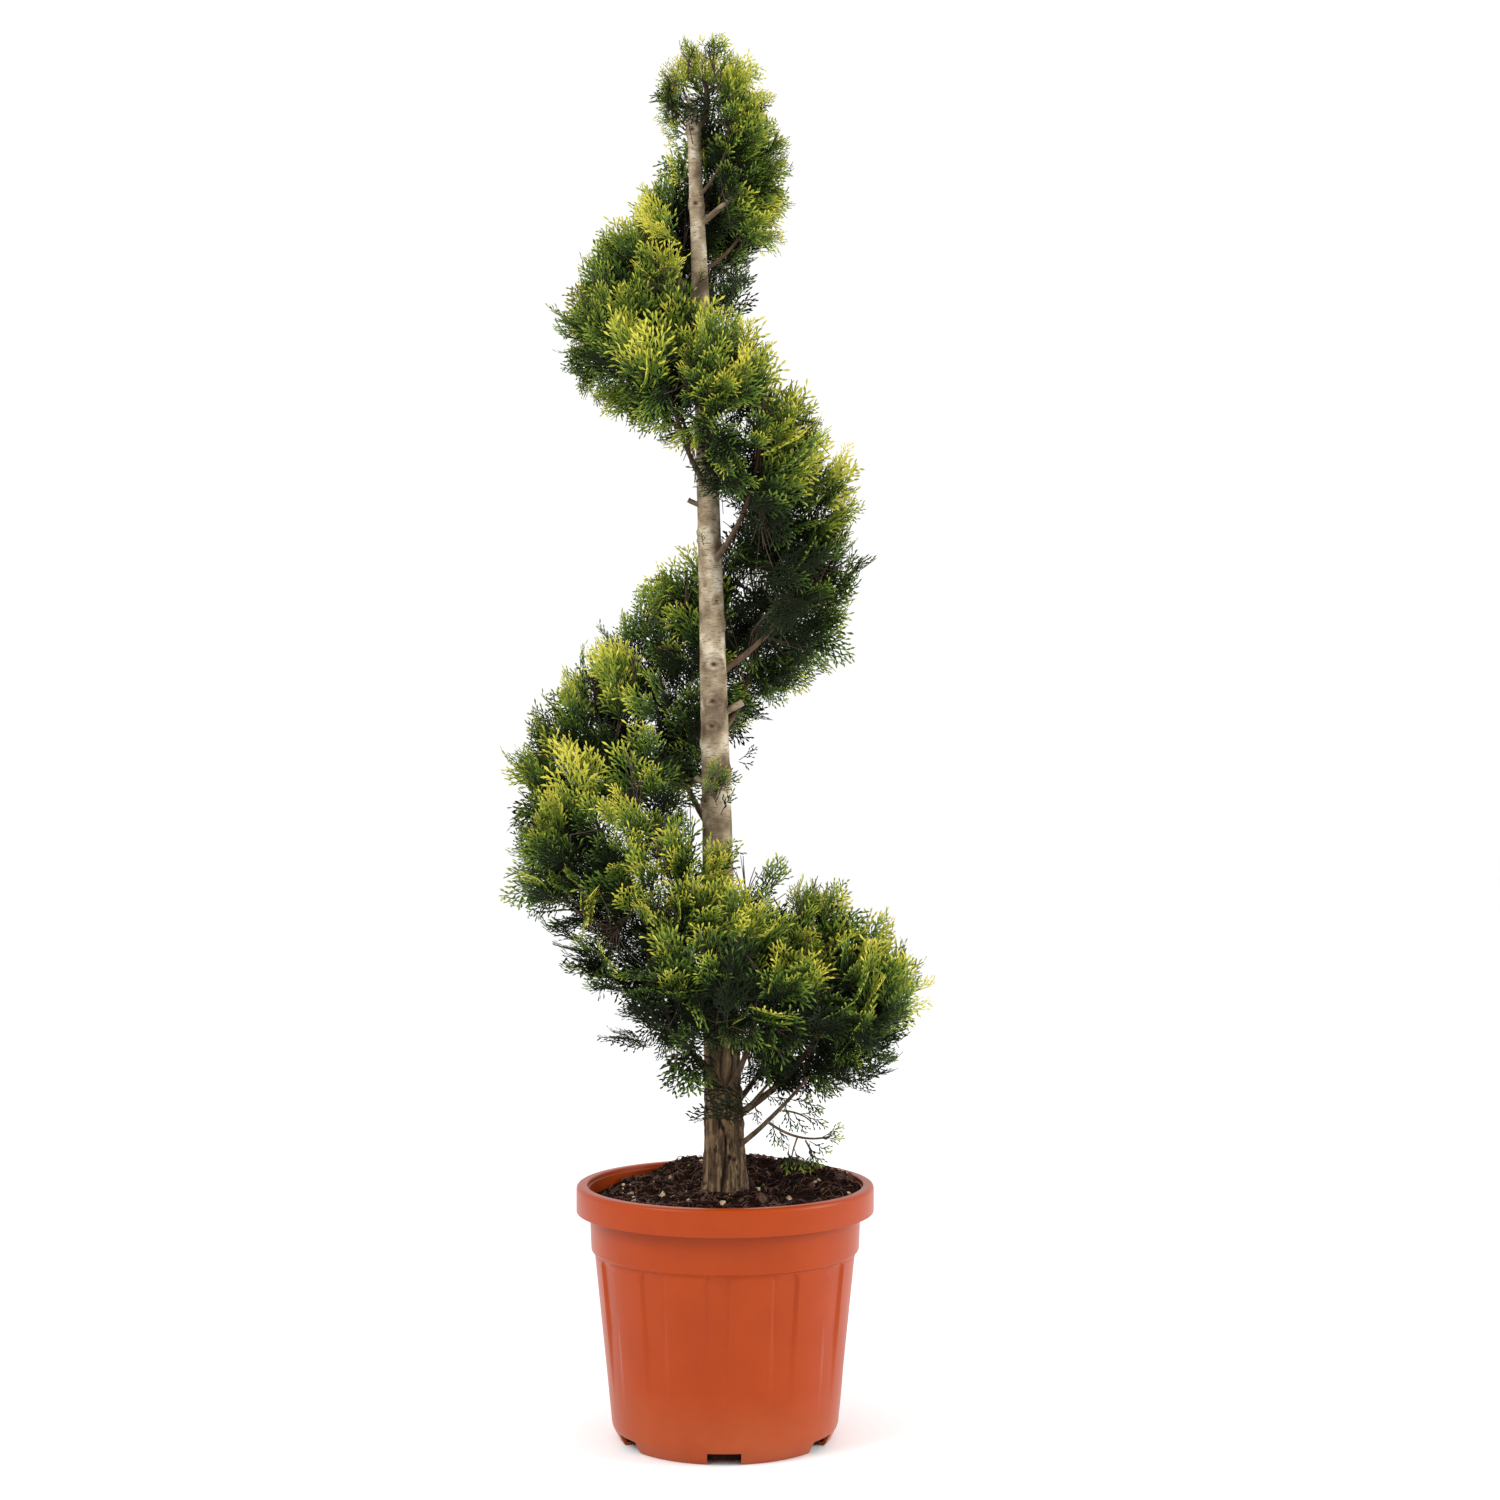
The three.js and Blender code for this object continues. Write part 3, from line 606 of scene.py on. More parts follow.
def lay_fibres(rng):
    """Lines of points that wander over the soil. Each fibre curls one way and arches a little."""
    lines = np.zeros((FIBRES, FIBRE_RINGS, 3))
    ends = on_soil(FIBRES, rng)
    headings = rng.uniform(0, 2 * math.pi, FIBRES)
    steps = rng.uniform(*FIBRE_LENGTHS, FIBRES) / FIBRE_RINGS * MM
    curls = rng.normal(0, FIBRE_CURL, FIBRES)
    for ring in range(FIBRE_RINGS):
        lines[:, ring] = ends
        headings = headings + curls
        ways = np.stack([np.cos(headings), np.sin(headings), np.zeros(FIBRES)], 1)
        ends = ends + ways * steps[:, None]
        ends[:, :2] *= np.minimum(1, FIBRE_REACH * MM / np.linalg.norm(ends[:, :2], axis=1))[:, None]
        arch = FIBRE_LIFT + FIBRE_ARCH * math.sin(math.pi * (ring + 1) / FIBRE_RINGS)
        ends[:, 2] = [soil_height(x, y) * MM + arch * MM for x, y in ends[:, :2] / MM]
    return lines


fibre_lines = lay_fibres(soil_rng)
fibre_radii = np.repeat(soil_rng.uniform(*FIBRE_RADII, FIBRES)[:, None] * MM, FIBRE_RINGS, 1)
fibre_radii[:, -1] *= FIBRE_POINT
finish_piece(mesh_from_arrays("soil_fibres", *strands(fibre_lines, fibre_radii, 3), smooth=True),
             "soil_fibres", mottled("peat_fibre", "#2E170E", "#6C452C", 9, 0.8), [])

# %% [markdown]
# ## The trunk
# The trunk tapers from a flared foot to a cut tip, and leans a little to the left. Low down
# its bark is old: long tan ridges between dark fissures. Higher up, where it was pruned bare,
# it is smooth and grey, with small cross marks and the scars of cut boughs. The bark's relief
# is real geometry: a long tube with many corners, each moved by noise that is stretched along
# the grain. Where a corner lies in a fissure or a scar is kept in an attribute, so that the
# finish can darken just those places.

# %% Sizes of the trunk
TRUNK_TOP = 1350
TRUNK_FOOT_RADIUS = 18.8
TRUNK_TOP_RADIUS = 5.3
TRUNK_TAPER = 0.83
FLARE = 3.2
FLARE_HEIGHT = 38
LEAN_START = -2
LEAN = -32
LEAN_POWER = 1.6


def trunk_share(height):
    """0 at the soil and 1 at the trunk's top."""
    return np.clip((height - GROUND) / (TRUNK_TOP - GROUND), 0, 1)


def trunk_x(height):
    """How far to the right of the pot's axis the leaning trunk's middle is."""
    return LEAN_START + LEAN * trunk_share(height) ** LEAN_POWER


def trunk_radius(height):
    """The trunk's radius with its taper and flare, without the bark's relief."""
    taper = (1 - trunk_share(height)) ** TRUNK_TAPER
    flare = FLARE * np.exp((GROUND - height) / FLARE_HEIGHT)
    return TRUNK_TOP_RADIUS + (TRUNK_FOOT_RADIUS - TRUNK_TOP_RADIUS) * taper + flare


print("trunk radius at the soil and at its top:",
      [round(float(trunk_radius(height)), 1) for height in (GROUND, TRUNK_TOP)])

# %% Limbs from a subdivided cone
BARK_MARKS = ("fissure", "age", "scar")


def bark_bmesh():
    """An empty bmesh with a layer for each mark that the bark's finish reads."""
    bm = bmesh.new()
    for name in BARK_MARKS:
        bm.verts.layers.float.new(name)
    return bm


def add_limb(bm, sides, rings, place_corner):
    """Adds a closed tube. place_corner takes the share of the length and the turn round it,
    and returns the corner's place and the values of its marks."""
    old = len(bm.verts)
    ends = bmesh.ops.create_cone(bm, cap_ends=True, segments=sides, radius1=1, radius2=1, depth=1)["verts"]
    uprights = {edge for vertex in ends for edge in vertex.link_edges
                if abs(edge.verts[0].co.z - edge.verts[1].co.z) > 0.5}
    bmesh.ops.subdivide_edges(bm, edges=list(uprights), cuts=rings - 1, use_grid_fill=True)
    layers = [bm.verts.layers.float[name] for name in BARK_MARKS]
    bm.verts.ensure_lookup_table()
    for vertex in bm.verts[old:]:
        share = vertex.co.z + 0.5
        place, values = place_corner(share, math.atan2(vertex.co.y, vertex.co.x))
        vertex.co = Vector(place) * MM
        for layer, value in zip(layers, values):
            vertex[layer] = value


print("each corner of a limb keeps its", ", ".join(BARK_MARKS))

# %% Relief of the bark
OLD_BARK = (340, 560)        # fully rough below the first height, smooth above the second
DRIFT_CLOSENESS = 1.3        # a slow noise that makes the fissures wander from the upright
DRIFT_LENGTH = 90
DRIFT_ASIDE = 0.8
CLEFT_CLOSENESS = 1.9        # how close the fissures stand round the trunk
CLEFT_LENGTH = 55
FINE_CLEFTS = (0.3, 2.7)     # depth and closeness of the finer ones between them
CLEFTS = (0.03, 0.2)         # noise from a fissure's bottom to its brim
FLAKES, GRAIN, WAVES = (5, 17), (11, 6), (1.5, 40)    # closeness round the trunk, and length
FISSURE_DEPTH = 4.2          # millimetres, as all the heights of the bark's relief
FLAKE_HEIGHT = 1.5
GRAIN_HEIGHT = 0.7
RIDGE_HEIGHT = 0.8
YOUNG_WAVE_HEIGHT = 0.35
YOUNG_GRAIN_HEIGHT = 0.12
KNOTS = [                    # height, bearing (0 right, 90 front), size
    (778, 88, 7.5), (741, 98, 6.5), (716, 104, 5.8), (670, 35, 7.0), (908, 176, 5.0),
    (842, 66, 3.5), (1243, 95, 6.0), (1318, 100, 6.0), (985, 300, 5.0), (600, 250, 6.0),
    (880, 250, 5.5), (700, 215, 5.0), (1120, 20, 4.0), (820, 320, 5.0), (640, 150, 4.5),
]
KNOT_REACH = 3               # how many sizes above and below its middle a knot marks the bark
KNOT_NARROWING = 0.68
KNOT_SAG = 0.12              # how much its sides hang
KNOT_RELIEF = [              # height, peak and width of its ring, its hollow and its swelling
    (1.1, 0.95, 0.35), (-1.6, 0, 0.4), (0.7, 0, 1.9),
]
KNOT_SCARS = [               # strength, peak and width of its dark middle and its dark rim
    (1.3, 0, 0.34), (0.5, 0.9, 0.22),
]
BROW = (0.55, 1.45, 0.16)    # the same for the crease above it
BROW_WIDTH = 1.4
BROW_SAG = 0.4


def skin_noise(turn, height, closeness, length):
    """Noise on the trunk's skin, by how close its spots stand round it and how long they are."""
    return noise.noise(Vector((math.cos(turn) * closeness, math.sin(turn) * closeness, height / length)))


def bell(value, height, peak, width):
    """A bell-shaped curve: its height is reached where the value is the peak."""
    return height * math.exp(-((value - peak) / width) ** 2)


def knot_marks(aside, rise):
    """The relief and the darkness of the bark round a knot, at a distance in units of its size."""
    reach = math.hypot(aside * KNOT_NARROWING, rise + KNOT_SAG * aside * aside)
    brow = bell(rise + BROW_SAG * aside * aside, *BROW) * bell(aside, 1, 0, BROW_WIDTH)
    return (sum(bell(reach, *shape) for shape in KNOT_RELIEF),
            max(brow, *(bell(reach, *shape) for shape in KNOT_SCARS)))


def bark_relief(turn, height, radius):
    """How far the bark stands out, in millimetres, and its marks: fissure, age and scar."""
    age = 1 - float(smooth_step(*OLD_BARK, height))
    round_x, round_y = math.cos(turn), math.sin(turn)
    drift = noise.noise(Vector((round_x, round_y, height / DRIFT_LENGTH)) * DRIFT_CLOSENESS)
    along_grain = Vector((round_x * CLEFT_CLOSENESS + DRIFT_ASIDE * drift,
                          round_y * CLEFT_CLOSENESS, height / CLEFT_LENGTH + drift))
    depth, closeness = FINE_CLEFTS
    cleft = abs(noise.noise(along_grain)) + depth * abs(noise.noise(along_grain * closeness))
    fissure = 1 - float(smooth_step(*CLEFTS, cleft))
    flakes = skin_noise(turn, height, *FLAKES)
    grain = skin_noise(turn, height, *GRAIN)
    wave = skin_noise(turn, height, *WAVES)
    old = -FISSURE_DEPTH * fissure + FLAKE_HEIGHT * flakes + GRAIN_HEIGHT * grain + RIDGE_HEIGHT
    young = YOUNG_WAVE_HEIGHT * wave + YOUNG_GRAIN_HEIGHT * grain
    relief = age * old + (1 - age) * young
    scar = 0.0
    for knot_height, bearing, size in KNOTS:
        rise = (height - knot_height) / size
        if abs(rise) < KNOT_REACH:
            away = (math.degrees(-turn) - bearing + 180) % 360 - 180
            bulge, darkness = knot_marks(math.radians(away) * radius / size, rise)
            relief += bulge
            scar = max(scar, darkness)
    return relief, (fissure * age, age, scar)


print("relief in front, in mm, from the foot up:",
      [round(bark_relief(-math.pi / 2, height, TRUNK_FOOT_RADIUS)[0], 1) for height in (300, 450, 650)])

# %% Corners of the trunk
ROOT_LOBES = 5
ROOT_LOBE_DEPTH = 0.11
ROOT_LOBE_HEIGHT = 50
RIBS = 3
RIB_DEPTH = 0.05
RIB_TWIST = 7
TRUNK_SIDES = 80
TRUNK_RINGS = 800
RING_CROWDING = 1.3          # above 1 the rings stand closer at the foot, where the bark is rough


def trunk_corner(share, turn):
    """The place of one corner of the trunk's bark, and the values of its marks."""
    height = GROUND + (TRUNK_TOP - GROUND) * share ** RING_CROWDING
    radius = float(trunk_radius(height))
    lobe = ROOT_LOBE_DEPTH * math.cos(ROOT_LOBES * turn) * math.exp((GROUND - height) / ROOT_LOBE_HEIGHT)
    rib = RIB_DEPTH * math.cos(RIBS * turn + RIB_TWIST * share)
    relief, marks = bark_relief(turn, height, radius)
    shaped = radius * (1 + lobe + rib) + relief
    centre = float(trunk_x(height))
    return (centre + shaped * math.cos(turn), shaped * math.sin(turn), height), marks


trunk_bm = bark_bmesh()
add_limb(trunk_bm, TRUNK_SIDES, TRUNK_RINGS, trunk_corner)
print("trunk with", len(trunk_bm.verts), "corners")


# %% [markdown]
# Bark takes no shine. The smooth bark is grey-tan with paler patches and fine brown cross
# marks. The old bark is brown, paler on its ridges. Scars are nearly black, and so are the
# fissures: partly the bark's own dark colour there and partly painted shade in them.

# %% Finish of the bark
BARK_SHARP = 60              # degrees between faces from which an edge is drawn sharp


def conifer_bark():
    """Bark that is smooth and grey-tan where it is young and brown where it is old, by its marks."""
    material, tree, shader, place = new_material("conifer_bark", {
        "Roughness": 0.85, "Specular IOR Level": 0.3})
    marks = {name: add_node(tree, "Attribute", {"attribute_name": name}).outputs["Fac"]
             for name in BARK_MARKS}
    patches = add_node(tree, "TexNoise", {"Scale": per_metre(22), "Detail": 5.0}, {"Vector": place})
    smooth_bark = add_node(tree, "ValToRGB", {"stops": [
        (0.32, "#57493A"), (0.45, "#85755D"), (0.55, "#A09077"), (0.66, "#C3B8A2")]}, {"Fac": patches})
    across = add_node(tree, "Mapping", {"Scale": (1.0, 1.0, 6.0)}, {"Vector": place})
    lenticels = add_node(tree, "TexNoise", {"Scale": per_metre(7), "Detail": 2.0}, {"Vector": across})
    dashes = add_node(tree, "MapRange", {"From Min": 0.55, "From Max": 0.64, "To Max": 0.75},
                      {"Value": lenticels})
    marked = add_node(tree, "Mix", {"data_type": "RGBA", COLOUR_B: linear("#5F4A34")},
                      {"Factor": dashes, COLOUR_A: smooth_bark})
    upwards = add_node(tree, "Mapping", {"Scale": (1.0, 1.0, 0.16)}, {"Vector": place})
    ridges = add_node(tree, "TexNoise", {"Scale": per_metre(4.5), "Detail": 6.0, "Roughness": 0.65},
                      {"Vector": upwards})
    old_bark = add_node(tree, "ValToRGB", {"stops": [
        (0.34, "#291C12"), (0.48, "#4D3A27"), (0.66, "#8C7553")]}, {"Fac": ridges})
    aged = add_node(tree, "Mix", {"data_type": "RGBA"},
                    {"Factor": marks["age"], COLOUR_A: marked, COLOUR_B: old_bark})
    # The fissure mark darkens to nearly black: on the trunk partly the bark's own colour in its fissures
    # and partly painted shade there.
    cleft = add_node(tree, "Mix", {"data_type": "RGBA", COLOUR_B: linear("#1D140D")},
                     {"Factor": marks["fissure"], COLOUR_A: aged})
    scarred = add_node(tree, "Mix", {"data_type": "RGBA", COLOUR_B: linear("#3E2A1C")},
                       {"Factor": marks["scar"], COLOUR_A: cleft})
    bump = add_node(tree, "Bump", {"Strength": 0.5, "Distance": 0.6 * MM}, {"Height": ridges})
    link_inputs(tree, shader, {"Base Color": scarred, "Normal": bump})
    return material


bark_finish = conifer_bark()
finish_piece(mesh_from_bmesh(trunk_bm, "trunk", BARK_SHARP), "trunk_bark", bark_finish,
             ["trunk"])

# %% [markdown]
# ## The ribbon, the boughs and the leader
# The clipped foliage is a ribbon that climbs round the trunk. Its height, depth and reach are
# listed at every sixth of a turn, and every bough, twig and leaf below takes its place from
# them. These are the CAD source's sizes and rules, so the dressed plant fills the same space.

# %% Sizes of the ribbon
FIRST_BEARING = -60          # of the three lists, in degrees: 0 is right and 90 the front
BEARING_STEP = 60
MIDDLES = [                  # heights of the ribbon's middle
    440, 458, 478, 505, 655, 762, 840, 920, 1025, 1092, 1135, 1200, 1264, 1300, 1345, 1356, 1354, 1354,
]
HALF_DEPTHS = [              # from its middle up or down to its clipped face, at the trunk
    100, 128, 118, 150, 168, 148, 128, 146, 128, 116, 122, 112, 130, 118, 64, 44, 36, 36,
]
REACHES = [                  # from the trunk's middle to its outer edge
    160, 212, 198, 200, 228, 204, 166, 162, 164, 158, 150, 128, 100, 100, 78, 46, 30, 28,
]
CONE_SLOPE = 0.14            # how far the section leans in as it rises
OUT_POWER = 1.9              # above 1 the section's edge is pointed
RISE_POWER = 1.2
INNER_SHARE = 0.05           # of the reach, between the trunk's face and the foliage
RIBBON_START = -75
RIBBON_END = 905
MASSES = 17
WEDGE = (RIBBON_END - RIBBON_START) / MASSES


def mix(a, b, share):
    """The value at a share of the way from a to b."""
    return a + (b - a) * share


def along(sizes, bearing):
    """A size of the ribbon at a bearing, from its list."""
    return np.interp(bearing, FIRST_BEARING + BEARING_STEP * np.arange(len(sizes)), sizes)


def around(bearing, distance, height):
    """A point at a bearing from the trunk: 0 is right and 90 is the front."""
    angle = np.radians(bearing)
    return np.stack(np.broadcast_arrays(
        trunk_x(height) + distance * np.cos(angle), -distance * np.sin(angle), height), -1)


def ribbon_point(bearing, angle, fullness):
    """A point of the ribbon's section, which is broad at the trunk and pointed outside: angle 0
    is outwards, 90 up, and fullness 1 the clipped face."""
    reach, middle = along(REACHES, bearing), along(MIDDLES, bearing)
    inner = trunk_radius(middle) + INNER_SHARE * reach
    up = np.sin(np.radians(angle))
    rise = np.sign(up) * np.abs(up) ** RISE_POWER * fullness * along(HALF_DEPTHS, bearing)
    out_share = np.maximum(0, 0.5 + 0.5 * np.cos(np.radians(angle)) * fullness) ** OUT_POWER
    distance = mix(inner, reach, out_share)
    return around(bearing, distance - CONE_SLOPE * rise * distance / reach, middle + rise)


bearings = [RIBBON_START + WEDGE * (i + 0.5) for i in range(MASSES)]
print(MASSES, "masses, one for every", round(WEDGE, 1), "degrees")

# %% Routes of the boughs and their stems
BOUGH_RISE = 0.75
BOUGH_SHARE = 0.33
BOUGH_DROP = 0.75
BOUGH_BEND_OUT = 0.55
BOUGH_BEND_DOWN = 0.62
BOUGH_THINNEST = 1.4
BOUGH_THICKNESS = 0.026
BOUGH_TAPER = 0.72
STEM_ANGLE = 30
STEM_FULLNESS = 0.62
STEM_BEND = 0.45
STEM_TAPER = 0.4


def bezier(start, bend, end, share):
    """Points of a curve that leaves its start towards the bend and arrives from there."""
    share = np.asarray(share, float)[..., None]
    return (1 - share) ** 2 * start + 2 * share * (1 - share) * bend + share ** 2 * end


def unit(vectors):
    """The vectors at a length of one."""
    return vectors / np.maximum(np.linalg.norm(vectors, axis=-1, keepdims=True), 1e-9)


def bough_line(bearing):
    """The route from the trunk's middle to where the bough enters its mass."""
    entry = along(REACHES, bearing) * BOUGH_SHARE
    height = along(MIDDLES, bearing) - along(HALF_DEPTHS, bearing) * BOUGH_DROP
    return (around(bearing, 0, height - entry * BOUGH_RISE),
            around(bearing, entry * BOUGH_BEND_OUT, height - entry * BOUGH_RISE * BOUGH_BEND_DOWN),
            around(bearing, entry, height))


def stem_line(bearing):
    """The route of the stem inside the mass, straight on from the bough."""
    _, bend, start = bough_line(bearing)
    end = ribbon_point(bearing, STEM_ANGLE, STEM_FULLNESS)
    return start, start + unit(start - bend) * np.linalg.norm(end - start) * STEM_BEND, end


def bough_radius(bearing):
    """The radius of the source's bough where it leaves the trunk."""
    return BOUGH_THINNEST + BOUGH_THICKNESS * along(REACHES, bearing)


print("radii of the source's boughs:", [round(float(bough_radius(b)), 1) for b in bearings])


# %% Boughs with bark
LIMB_SIDES = 14
LIMB_RINGS = 30
LIMB_SLANT = (0.12, 0.21, 0.97)    # a way that no limb runs, to start its rings from
LIMB_BUMPS = [(0.1, 1.7), (0.07, 5.1)]    # share of the radius, and how close together
CREASES = (0.15, 0.5)        # noise from no crease to a full one
CREASE_DEPTH = 0.35
CREASE_CLOSENESS = 3.3
RINGS_PER_SPOT = 9
COLLAR = 0.6                 # how much a bough swells where it leaves the trunk
COLLAR_FADE = 6
SLIMMER = 0.58               # a bough's bark against the plain solid that it replaces
FRONT_BOUGH = 15             # the photo shows none across the trunk's bare tip, so this is a twig
FRONT_SLIMMER = 0.2
BOUGH_BARK = ((0.5, 0.0), (0.4, 0.9))    # how young and how dark, each at the root and the tip


def add_curved_limb(bm, line, radii, young, darker):
    """A limb with bark along a line of points in millimetres. young and darker say how young
    and how dark its bark is at its root and at its tip."""
    ahead = unit(np.gradient(line, axis=0))
    side = unit(np.cross(ahead, LIMB_SLANT))
    above = np.cross(ahead, side)

    def place_corner(share, turn):
        """The place of one corner of the limb's bark, and the values of its marks."""
        ring = round(share * (len(line) - 1))
        grain = Vector((math.cos(turn), math.sin(turn), ring / RINGS_PER_SPOT))
        bumps = sum(height * noise.noise(grain * closeness) for height, closeness in LIMB_BUMPS)
        around_line = math.cos(turn) * side[ring] + math.sin(turn) * above[ring]
        place = line[ring] + radii[ring] * (1 + bumps) * around_line
        crease = float(smooth_step(*CREASES, noise.noise(grain * CREASE_CLOSENESS)))
        outwards = math.sqrt(share)
        return place, (CREASE_DEPTH * crease, 1 - mix(*young, outwards), mix(*darker, outwards))

    add_limb(bm, LIMB_SIDES, len(line) - 1, place_corner)


def collar(shares):
    """How much wider than its taper a bough is, along its length."""
    return 1 + COLLAR * np.exp(-shares * COLLAR_FADE)


boughs_bm = bark_bmesh()
shares = np.linspace(0, 1, LIMB_RINGS)
for i, bearing in enumerate(bearings):
    line = np.concatenate([bezier(*bough_line(bearing), shares), bezier(*stem_line(bearing), shares[1:])])
    thick = bough_radius(bearing) * (FRONT_SLIMMER if i == FRONT_BOUGH else SLIMMER)
    bough_radii = thick * mix(1, BOUGH_TAPER, shares) * collar(shares)
    stem_radii = thick * BOUGH_TAPER * mix(1, STEM_TAPER, shares[1:])
    add_curved_limb(boughs_bm, line, np.concatenate([bough_radii, stem_radii]), *BOUGH_BARK)
bough_names = [f"bough_{i + 1:02d}" for i in range(MASSES)]
finish_piece(mesh_from_bmesh(boughs_bm, "boughs", BARK_SHARP), "boughs_bark", bark_finish,
             bough_names)

# %% Leader, cut stubs and low shoots
LEADER_POINTS = [(-31, 0, 1318), (-13, 2, 1330), (-21, 2, 1368)]
LEADER_RADII = (3.8, 1.9)
LEADER_BARK = ((0.4, 0.0), (0.2, 0.8))
STUB_BARK = ((1.0, 0.6), (0.0, 0.0))
SHOOT_BARK = ((0.6, 0.1), (0.0, 0.5))
STUB_OUT = 0.75              # of a stub's length, as the next two
STUB_RISE = 0.7
STUB_SAG = 0.08
STUBS = [                    # height, bearing, length, radius
    (726, 12, 20, 3.4), (1222, 8, 44, 2.9), (936, 172, 12, 2.6), (655, 205, 12, 3.2), (1060, 120, 10, 2.4),
]
LOW_SHOOTS = [               # root, bend and tip of the bare shoots above the pot, and their radii
    ((12, -4, 292), (44, -26, 318), (84, -40, 368), (3.0, 1.4)),
    ((12, -2, 318), (27, -10, 336), (50, -20, 366), (2.6, 1.2)),
    ((43, -24, 320), (72, -40, 300), (104, -48, 309), (1.5, 0.9)),
    ((72, -36, 306), (68, -40, 296), (66, -42, 286), (1.0, 0.7)),
    ((80, -40, 304), (84, -44, 298), (88, -46, 287), (1.0, 0.7)),
    ((57, -30, 332), (76, -36, 332), (86, -38, 322), (1.1, 0.7)),
]
leader_bm = bark_bmesh()
leader_line = bezier(*np.array(LEADER_POINTS, float), shares)
add_curved_limb(leader_bm, leader_line, mix(*LEADER_RADII, shares), *LEADER_BARK)
finish_piece(mesh_from_bmesh(leader_bm, "leader", BARK_SHARP), "leader_bark", bark_finish,
             ["leader"])

shoots_bm = bark_bmesh()
for height, bearing, length, radius in STUBS:
    root = around(bearing, 0, height)
    tip = around(bearing, float(trunk_radius(height)) + length * STUB_OUT, height + length * STUB_RISE)
    bend = (root + tip) / 2 + np.array([0, 0, -length * STUB_SAG])
    add_curved_limb(shoots_bm, bezier(root, bend, tip, shares), radius * collar(shares), *STUB_BARK)
for *points, radii in LOW_SHOOTS:
    shoot_line = bezier(*np.array(points, float), shares)
    add_curved_limb(shoots_bm, shoot_line, mix(*radii, shares), *SHOOT_BARK)
finish_piece(mesh_from_bmesh(shoots_bm, "shoots", BARK_SHARP), "stubs_and_shoots", bark_finish,
             [])

# %% [markdown]
# ## Growth inside the masses
# Each mass grows by a rule, not by hand. Targets are dealt evenly over its clipped face. A few
# twigs leave the stem for them, branchlets leave the twigs, and sprays leave the branchlets.
# The first twigs use the same seeded numbers as the CAD source, so they run where its twigs do.

# %% The source's rule
FEWEST_TWIGS = 3
TWIGS_PER_METRE = 13
TWIG_ROOTS = (0.15, 0.9)
TWIG_SPREAD = 0.66
TWIG_FULLNESS = 0.66
LOWEST_ANGLE = -140
HIGHEST_ANGLE = 165
FIRST_SHARE = 0.4
ANGLE_SCATTER = 0.2
GOLDEN = 0.618034
SPRAYS_PER_TWIG = 3
SPRAY_SPREAD = 0.8
SPRAY_ASIDE = (0.3, 0.55)
SPRAY_FAN = 70
SPRAY_FIRST_ROOT = 0.97
SPRAY_ROOT_STEP = 0.14
RAGGED = 0.22
SEED = 7


def seeded(seed):
    """A random sequence that is the same in every language: the minimal standard generator."""
    state = seed * 48271 % 2147483647
    while True:
        state = state * 16807 % 2147483647
        yield state / 2147483647


def grow_twigs(bearing, seed):
    """The twigs of one mass and the branchlets they end in, each as a root and a tip."""
    random = seeded(seed)
    twigs, branchlets = [], []
    count = round(FEWEST_TWIGS + TWIGS_PER_METRE * float(along(REACHES, bearing)) / 1000)
    for i in range(count):
        place = (i + 0.5) / count - 0.5
        dealt = (FIRST_SHARE + i * GOLDEN + ANGLE_SCATTER * next(random)) % 1
        angle = mix(LOWEST_ANGLE, HIGHEST_ANGLE, dealt)
        root = bezier(*stem_line(bearing), mix(*TWIG_ROOTS, 0.5 + 0.5 * math.cos(math.radians(angle))))
        tip = ribbon_point(bearing + WEDGE * TWIG_SPREAD * place, angle, TWIG_FULLNESS)
        twigs.append((root, tip))
        for j in range(SPRAYS_PER_TWIG):
            aside = (j % 2 - 0.5) * mix(*SPRAY_ASIDE, next(random)) if j else 0
            above = (next(random) - 0.5) * SPRAY_FAN if j else 0
            hanging = 1 + RAGGED * next(random) * max(0, -math.sin(math.radians(angle + above)))
            _ = next(random), next(random), next(random)    # the source's draws for its blades
            turned = bearing + WEDGE * SPRAY_SPREAD * (place + aside)
            start = mix(root, tip, SPRAY_FIRST_ROOT - SPRAY_ROOT_STEP * j)
            branchlets.append((start, ribbon_point(turned, angle + above, hanging)))
    return np.array(twigs), np.array(branchlets)


print("twigs in each mass:", [len(grow_twigs(bearing, SEED)[0]) for bearing in bearings])


# %% [markdown]
# On the real plant the twigs fork into branchlets, and each of those ends in tufts of flat
# sprays that overlap like shingles. Here they are arrays of feet, tips and directions, because
# thousands of objects would be slow. A spray also gets a tone from where it grows and how it
# faces, which decides its colour later. That tone holds painted light on sprays that face up,
# and painted shade on those inside, in hollows and low.

# %% Places on a mass's clipped face
SPREAD_U = 0.7548776662      # the two steps of an even spread over a rectangle
SPREAD_V = 0.5698402910
SPREAD_JITTER = 0.02
SECTION_STEPS = 90
NORMAL_STEP = 2              # degrees to each side at which the face's slope is taken
TRUNK_MARGIN = 3
LEADER_ROOM = 7
BARE_FRONTS = [              # boxes kept open before the trunk's bare tip and foot, and one of sky
    ((-49, -150, 1215), (-6, 4, 1376)),
    ((-30, -180, 270), (24, 4, 396)),
    ((56, -220, 548), (84, 20, 640)),
]


def even_targets(count, bearing, rng):
    """Bearings and section angles, dealt evenly over the area of one mass's clipped face."""
    angles, area = face_area(bearing)
    step = np.arange(count)
    place = (0.5 + step * SPREAD_U + rng.uniform(0, SPREAD_JITTER, count)) % 1
    turned = bearing + WEDGE * (place - 0.5)
    share = (0.5 + step * SPREAD_V + rng.uniform(0, SPREAD_JITTER, count)) % 1
    return turned, np.interp(share * area[-1], area, angles)


def face_area(bearing):
    """Angles of the section, and the area of clipped face that lies below each of them."""
    angles = np.linspace(LOWEST_ANGLE, HIGHEST_ANGLE, SECTION_STEPS)
    line = ribbon_point(bearing, angles, 1.0)
    distance = from_trunk(line)
    strips = np.linalg.norm(np.diff(line, axis=0), axis=1) * (distance[1:] + distance[:-1]) / 2
    return angles, np.concatenate([[0], np.cumsum(strips)]) * math.radians(WEDGE)


